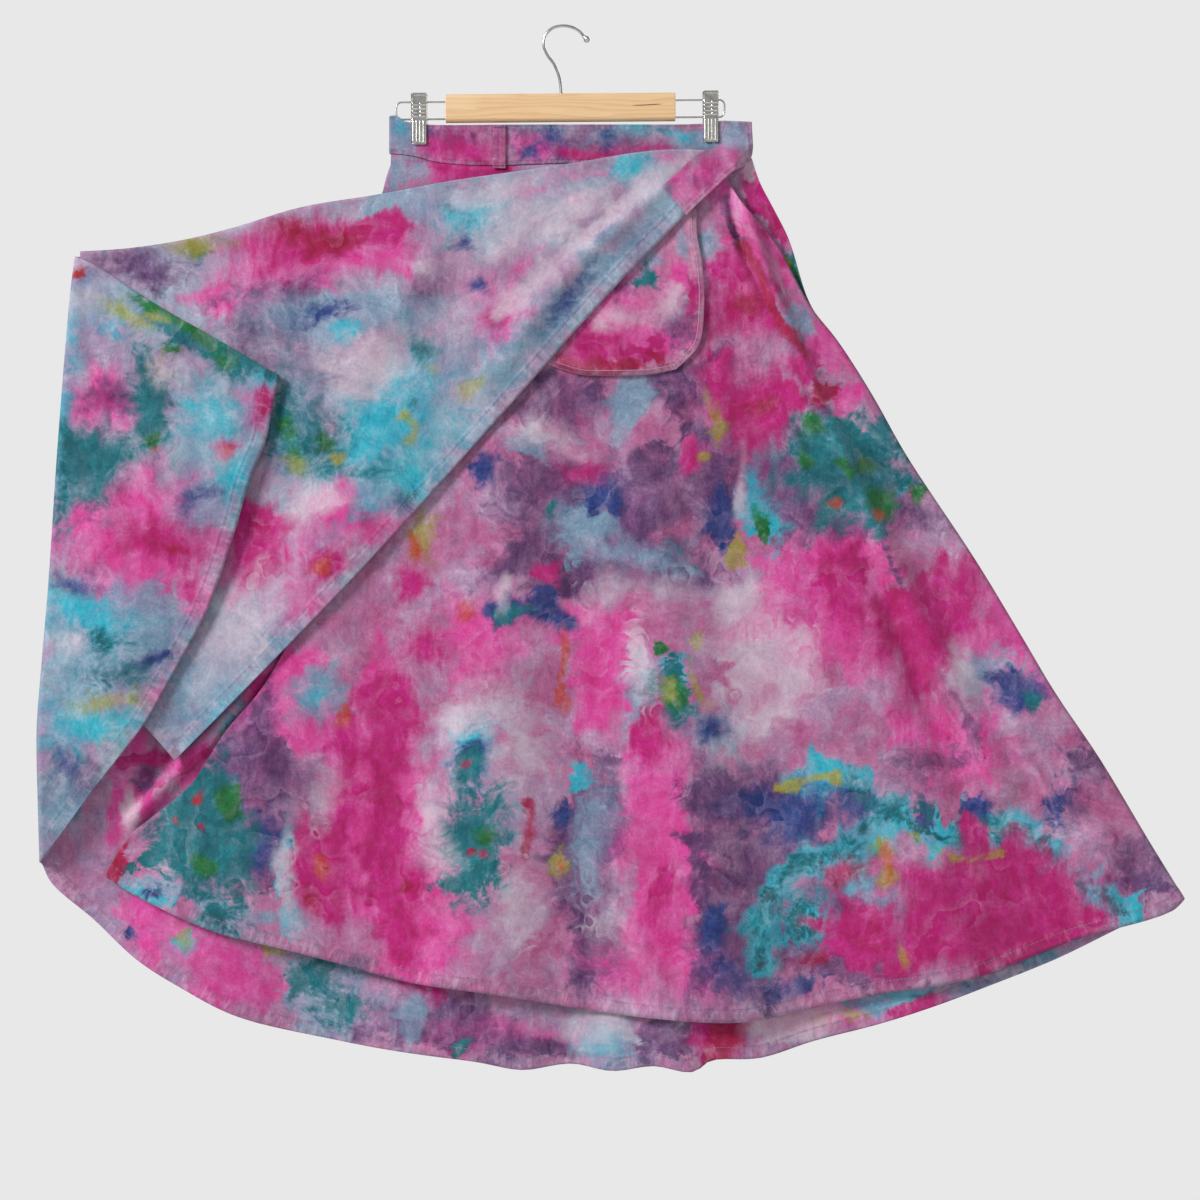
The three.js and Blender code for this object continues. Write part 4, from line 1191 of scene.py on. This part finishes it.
# Bar tacks: a few close turns of thread across the loop
tacks = []
for z0 in (LOOP_TOP - 2.6, LOOP_FOOT + 2.6):
    turns = np.arange(34)
    x = np.linspace(LOOP_LEFT + 1.2, LOOP_RIGHT - 1.2, len(turns))
    z = z0 + np.where(turns % 2, 0.75, -0.75)
    tacks.append(laid(x, z, loop_depth, -(LOOP_WALL / 2 + 0.1)))
sewn("bar_tacks", tacks, TACK_THREAD, thread)

# Overlock: thread that goes over the pocket's raw edge and back in a zigzag, with a needle row
overlock = []
for name, start, end in (("pocket_right", 0.04, 1), ("pocket_foot", 0.0, 1)):
    inward = -1 if name == "pocket_right" else 1
    inner = beside(name, OVERLOCK_BITE * inward, start, end, OVERLOCK_PACE)
    outer = beside(name, 0.1 * inward, start, end, OVERLOCK_PACE)
    over_and_back = np.arange(len(inner[0])) % 2
    x, z = (np.where(over_and_back, o, i) for o, i in zip(outer, inner))
    overlock.append(laid(x, z, pocket_depth, -0.72))
    overlock.append(laid(*beside(name, OVERLOCK_BITE * inward, start, end), pocket_depth, -0.8))
    overlock.append(laid(*beside(name, -0.1 * inward, start, end), pocket_depth, 0))
pink_thread = thread_finish(
    "overlock_thread", 0.0014, 0.05, (0.35, 0.65), ("D3A3BC", "B98FAE"), 0.0003, 0.62
)
sewn("pocket_overlock", overlock, OVERLOCK_THREAD, pink_thread)


# ------------------------------------------------------------ hanger bar
# A straight bar of clear pine with its long edges rounded over, sanded and sealed. The hook
# and the clips' rails are set into drilled holes in it.
BAR_LEFT, BAR_RIGHT, BAR_TOP, BAR_BOTTOM, BAR_THICK, BAR_ROUND = -119, 111, -66.6, -94.8, 12, 4.5
TILT = math.radians(0.45)  # the hanger hangs a little up to the right


def hung(mesh):
    """Turns a hanger part with the hanger to its place."""
    points = np.empty(len(mesh.vertices) * 3)
    mesh.vertices.foreach_get("co", points)
    x, y, z = points.reshape(-1, 3).T
    c, s = math.cos(TILT), math.sin(TILT)
    mesh.vertices.foreach_set("co", (np.stack([x * c - z * s, y, x * s + z * c], 1)).ravel())
    mesh.update()


bm = bmesh.new()
bmesh.ops.create_cube(bm, size=1)
size = (BAR_RIGHT - BAR_LEFT, BAR_THICK, BAR_TOP - BAR_BOTTOM)
middle = ((BAR_LEFT + BAR_RIGHT) / 2, 0, (BAR_TOP + BAR_BOTTOM) / 2)
bmesh.ops.scale(bm, verts=bm.verts, vec=size)
bmesh.ops.translate(bm, verts=bm.verts, vec=middle)
long_edges = [e for e in bm.edges if abs(e.verts[0].co.x - e.verts[1].co.x) > 1]
bevel = {"affect": "EDGES", "profile": 0.5, "material": -1}
bmesh.ops.bevel(bm, geom=long_edges, offset=BAR_ROUND, segments=7, **bevel)
end_edges = [e for e in bm.edges if len(e.link_faces) == 2 and e.calc_face_angle(0) > 1.2]
bmesh.ops.bevel(bm, geom=end_edges, offset=0.7, segments=3, **bevel)
bmesh.ops.scale(bm, verts=bm.verts, vec=(MM, MM, MM))
bar = built("pine_bar", bm)
hung(bar.data)
flat_faces = bar.modifiers.new("flat_faces", "WEIGHTED_NORMAL")
flat_faces.keep_sharp = True

pine, ink = new_finish("clear_pine")
place = ink.node("TexCoord", out="Object")
wander = place.stretch(9, 60, 60).noise(1.0, 3)
parts = ink.node("SeparateXYZ", {}, {0: place})
along_bar, across, up = (parts.other(k) for k in range(3))
# Growth rings round a heart well below and behind the bar
from_heart = ink.node("CombineXYZ", {}, {0: across - 0.055, 1: up + 0.128})
from_heart = ink.node("VectorMath", {"operation": "LENGTH"}, {0: from_heart}, "Value")
ring = ink.sum("FRACT", (from_heart + wander * 0.011) * 330)
late_wood = ring.ease(0.35, 0.92) * (1 - ring.ease(0.93, 1.0))
fibre = place.stretch(30, 1300, 1300).noise(1.0, 3)
cloud = place.stretch(14, 50, 50).noise(1.0, 2)
wood = (late_wood * 0.38).between("E0BC90", "C8955F")
wood = wood.blend("C99A68", fibre.ease(0.5, 0.8) * 0.35)
wood = wood.blend("E9CBA3", cloud.ease(0.5, 0.72) * 0.4)
# A short dry crack near the right end
crack = ink.sum("ABSOLUTE", up + 0.0782 + (wander - 0.5) * 0.004 - (along_bar - 0.085) * 0.05)
crack = (1 - crack.ease(0.0002, 0.0008)) * along_bar.ease(0.066, 0.074)
crack = crack * (1 - along_bar.ease(0.092, 0.101))
wood = wood.blend("5E3B22", crack * (1 - across.ease(-0.0052, -0.0046)) * 0.95)
grain = fibre * 0.6 + late_wood * 0.4 - crack * 1.2
height = ink.node("Bump", {}, {"Strength": 0.35, "Distance": 0.0004, "Height": grain})
bar.data.materials.append(
    set_finish(pine, ink, Base_Color=wood, Roughness=fibre * 0.22 + 0.36, Normal=height)
)
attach(bar, "root")
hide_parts("hanger_bar")


# ------------------------------------------------------------ hook
# Bent steel wire with a bright nickel finish, screwed into the bar's top, and ended in a small
# ball so that it doesn't catch.
HOOK = [
    (-3, -66.3), (-5, -50), (-10, -37), (-17, -27), (-20.4, -17), (-18, -7), (-11, -0.6),
    (0, 1.5), (10, -0.8), (17, -5.4), (20, -9.2), (21.4, -10.7),
]
HOOK_WIRE, BALL, BALL_PLACE = 1.5, 3.3, (23, 0, -12.3)

nickel, ink = new_finish("bright_nickel")
place = ink.node("TexCoord", out="Object")
cast = place.noise(0.006, 4)
rub = place.noise(0.0009, 3)
tone = cast.ease(0.35, 0.7).between("DAD8D4", "B9B6B0")
height = ink.node("Bump", {}, {"Strength": 0.12, "Distance": 0.0001, "Height": rub})
set_finish(
    nickel, ink, Base_Color=tone, Metallic=1.0, Roughness=rub * 0.14 + cast * 0.12 + 0.14, Normal=height
)


def in_nickel(made, node):
    """Ends a wire or a plate of the hanger, in place of its node."""
    hung(made.data)
    made.data.materials.append(nickel)
    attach(made, "root")
    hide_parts(node)


x, z = along(smooth_line(HOOK), np.linspace(0, 1, 110))
in_nickel(tube("hook_wire", [np.stack([x, x * 0, z], 1)], HOOK_WIRE, 4), "hanger_hook")

bm = bmesh.new()
profile = [(-4.6, 0), (-4.6, 1.7), (-3.5, 1.8), (-3.0, 1.75)]
profile += [(-BALL * math.cos(a), BALL * math.sin(a)) for a in np.linspace(0.62, math.pi, 14)]
points = [bm.verts.new((r * MM, 0, a * MM)) for a, r in profile]
for a, b in zip(points, points[1:]):
    bm.edges.new((a, b))
bmesh.ops.spin(
    bm, geom=bm.verts[:] + bm.edges[:], cent=(0, 0, 0), axis=(0, 0, 1), angle=2 * math.pi, steps=28,
    use_merge=True,
)
bmesh.ops.remove_doubles(bm, verts=bm.verts, dist=0.00005)
turn = Vector((0, 0, 1)).rotation_difference(Vector((3, 0, -3.1))).to_matrix()
bmesh.ops.rotate(bm, verts=bm.verts, cent=(0, 0, 0), matrix=turn)
bmesh.ops.translate(bm, verts=bm.verts, vec=Vector(BALL_PLACE) * MM)
bmesh.ops.recalc_face_normals(bm, faces=bm.faces)
in_nickel(built("hook_ball_tip", bm), "hook_ball")


# ------------------------------------------------------------ clip rails
# A loop of thin bright wire in each end of the bar, for a clip to slide on.
RAIL, RAIL_UPPER, RAIL_LOWER, RAIL_OUT, RAIL_CORNER = 0.9, -74, -91.1, 49, 5
bend = np.linspace(0, math.pi / 2, 9)
for side_name, x0, way in (("left", BAR_LEFT - SEAM_GAP, -1), ("right", BAR_RIGHT + SEAM_GAP, 1)):
    far, reach = x0 + way * (RAIL_OUT - RAIL_CORNER), way * RAIL_CORNER
    rows = [(x0, RAIL_UPPER), (x0 + way * 20, RAIL_UPPER)]
    for a in bend:
        rows.append((far + reach * math.sin(a), RAIL_UPPER - RAIL_CORNER * (1 - math.cos(a))))
    for a in bend:
        rows.append((far + reach * math.cos(a), RAIL_LOWER + RAIL_CORNER * (1 - math.sin(a))))
    rows += [(x0 + way * 20, RAIL_LOWER), (x0, RAIL_LOWER)]
    rail = tube("rail_wire_" + side_name, [[(x, 0, z) for x, z in rows]], RAIL, 3)
    in_nickel(rail, "rail_" + side_name)


# ------------------------------------------------------------ clips
# Each clip is two jaws of pressed plate that swing on the lower rail: a turned lip to squeeze,
# cross ridges for the thumb, and a fluted foot that grips the band. A coil spring closes them.
CLIP_WIDTH, CLIP_TOP, CLIP_FOOT, CLIP_FACE = 16, -65.5, -117, 5.1
PLATE, RIDGES = 0.8, (-88.5, -84.6, -80.7, -76.8)
SPRING, SPRING_WIRE, SPRING_TURNS, SPRING_LONG = 2.3, 0.45, 4, 9


def jaw_relief(s, z):
    """How far the plate stands out from the clip's middle, across (-1 to 1) and up it."""
    lip = 1.0 * step(-69.5, -66.2, z)
    ridges = sum(np.exp(-(((z - z0) / 0.95) ** 2)) for z0 in RIDGES)
    columns = step(0.05, 0.16, abs(s)) * step(0.88, 0.76, abs(s))
    foot = step(-90.6, -92.6, z) * 0.55
    flutes = 0.42 * np.clip(np.sin(np.pi * 4 * (s * 0.5 / 0.86 + 0.5)) ** 2 * 1.7, 0, 1)
    flutes = flutes * step(-92.5, -94.5, z) * step(-116.4, -114.4, z) * step(0.9, 0.84, abs(s))
    flange = -2.4 * step(0.86, 1.0, abs(s)) * step(-117, -114, z)
    return CLIP_FACE + lip + ridges * columns * 1.0 + foot + flutes + flange


for side_name, x0 in (("left", -153.5), ("right", 138.5)):
    for face_name, sign in (("front", -1), ("back", 1)):
        bm = bmesh.new()
        bmesh.ops.create_grid(bm, x_segments=44, y_segments=112, size=0.5)
        for v in bm.verts:
            s, z = v.co.x * 2, mix(CLIP_FOOT, CLIP_TOP, v.co.y + 0.5)
            narrow = math.sqrt(max(0.0, 1 - max(0.0, (CLIP_FOOT + 4 - z) / 4) ** 2))
            half = CLIP_WIDTH / 2 * (1 - 0.32 * (1 - narrow))
            y = sign * float(jaw_relief(np.float64(s), np.float64(z)))
            v.co = Vector((x0 + CLIP_WIDTH / 2 + s * half, y, z)) * MM
        if sign > 0:
            bmesh.ops.reverse_faces(bm, faces=bm.faces)
        jaw = built(f"clip_jaw_{side_name}_{face_name}", bm)
        plate = jaw.modifiers.new("plate", "SOLIDIFY")
        plate.thickness, plate.offset = PLATE * MM, -1
        in_nickel(jaw, f"clip_{side_name}_{face_name}")
    turns = np.linspace(0, 2 * math.pi * SPRING_TURNS, 24 * SPRING_TURNS)
    coil = np.stack([
        x0 + (CLIP_WIDTH - SPRING_LONG) / 2 + SPRING_LONG * turns / turns[-1],
        SPRING * np.sin(turns), RAIL_LOWER + SPRING * np.cos(turns),
    ], 1)
    in_nickel(tube("spring_coil_" + side_name, [coil], SPRING_WIRE, 2), "spring_" + side_name)


# ------------------------------------------------------------ floor and light
# A pale studio floor far below the hem, a soft key from the upper left and a pale room.
FLOOR_RADIUS, FLOOR_Z = 3, -2.1
LIT = Vector((0.04, 0, -0.55))  # what the lamps point at
bm = bmesh.new()
bmesh.ops.create_circle(bm, cap_ends=True, segments=96, radius=FLOOR_RADIUS)
bmesh.ops.translate(bm, verts=bm.verts, vec=(0, 0, FLOOR_Z))
floor = bpy.data.objects.new("floor", bpy.data.meshes.new("floor"))
bm.to_mesh(floor.data)
bm.free()
scene.collection.objects.link(floor)
pale, ink = new_finish("pale_floor")
floor.data.materials.append(set_finish(pale, ink, Base_Color=paint("E4E4E4"), Roughness=0.9))

world = bpy.data.worlds.new("room")
scene.world = world
world.use_nodes = True
world.node_tree.nodes.clear()
ink = Ink(world.node_tree)
seen = ink.node("LightPath", out="Is Camera Ray")
strength = seen * 0.55 + 0.45
room = ink.node("Background", {}, {"Color": paint("E8E8E8"), "Strength": strength})
output = world.node_tree.nodes.new("ShaderNodeOutputWorld")
world.node_tree.links.new(room.socket, output.inputs["Surface"])

for name, place, size, power in (
    ("key", (-4.6, -3.4, 2.6), 1.7, 450),
    ("fill", (1.8, -2.4, -0.6), 1.6, 8),
    ("rear", (1.2, 2.8, 0.6), 1.8, 30),
):
    lamp = bpy.data.objects.new(name, bpy.data.lights.new(name, "AREA"))
    lamp.data.size, lamp.data.energy = size, power
    lamp.location = place
    lamp.rotation_euler = (LIT - Vector(place)).to_track_quat("-Z", "Y").to_euler()
    scene.collection.objects.link(lamp)
scene.view_settings.view_transform = "Standard"
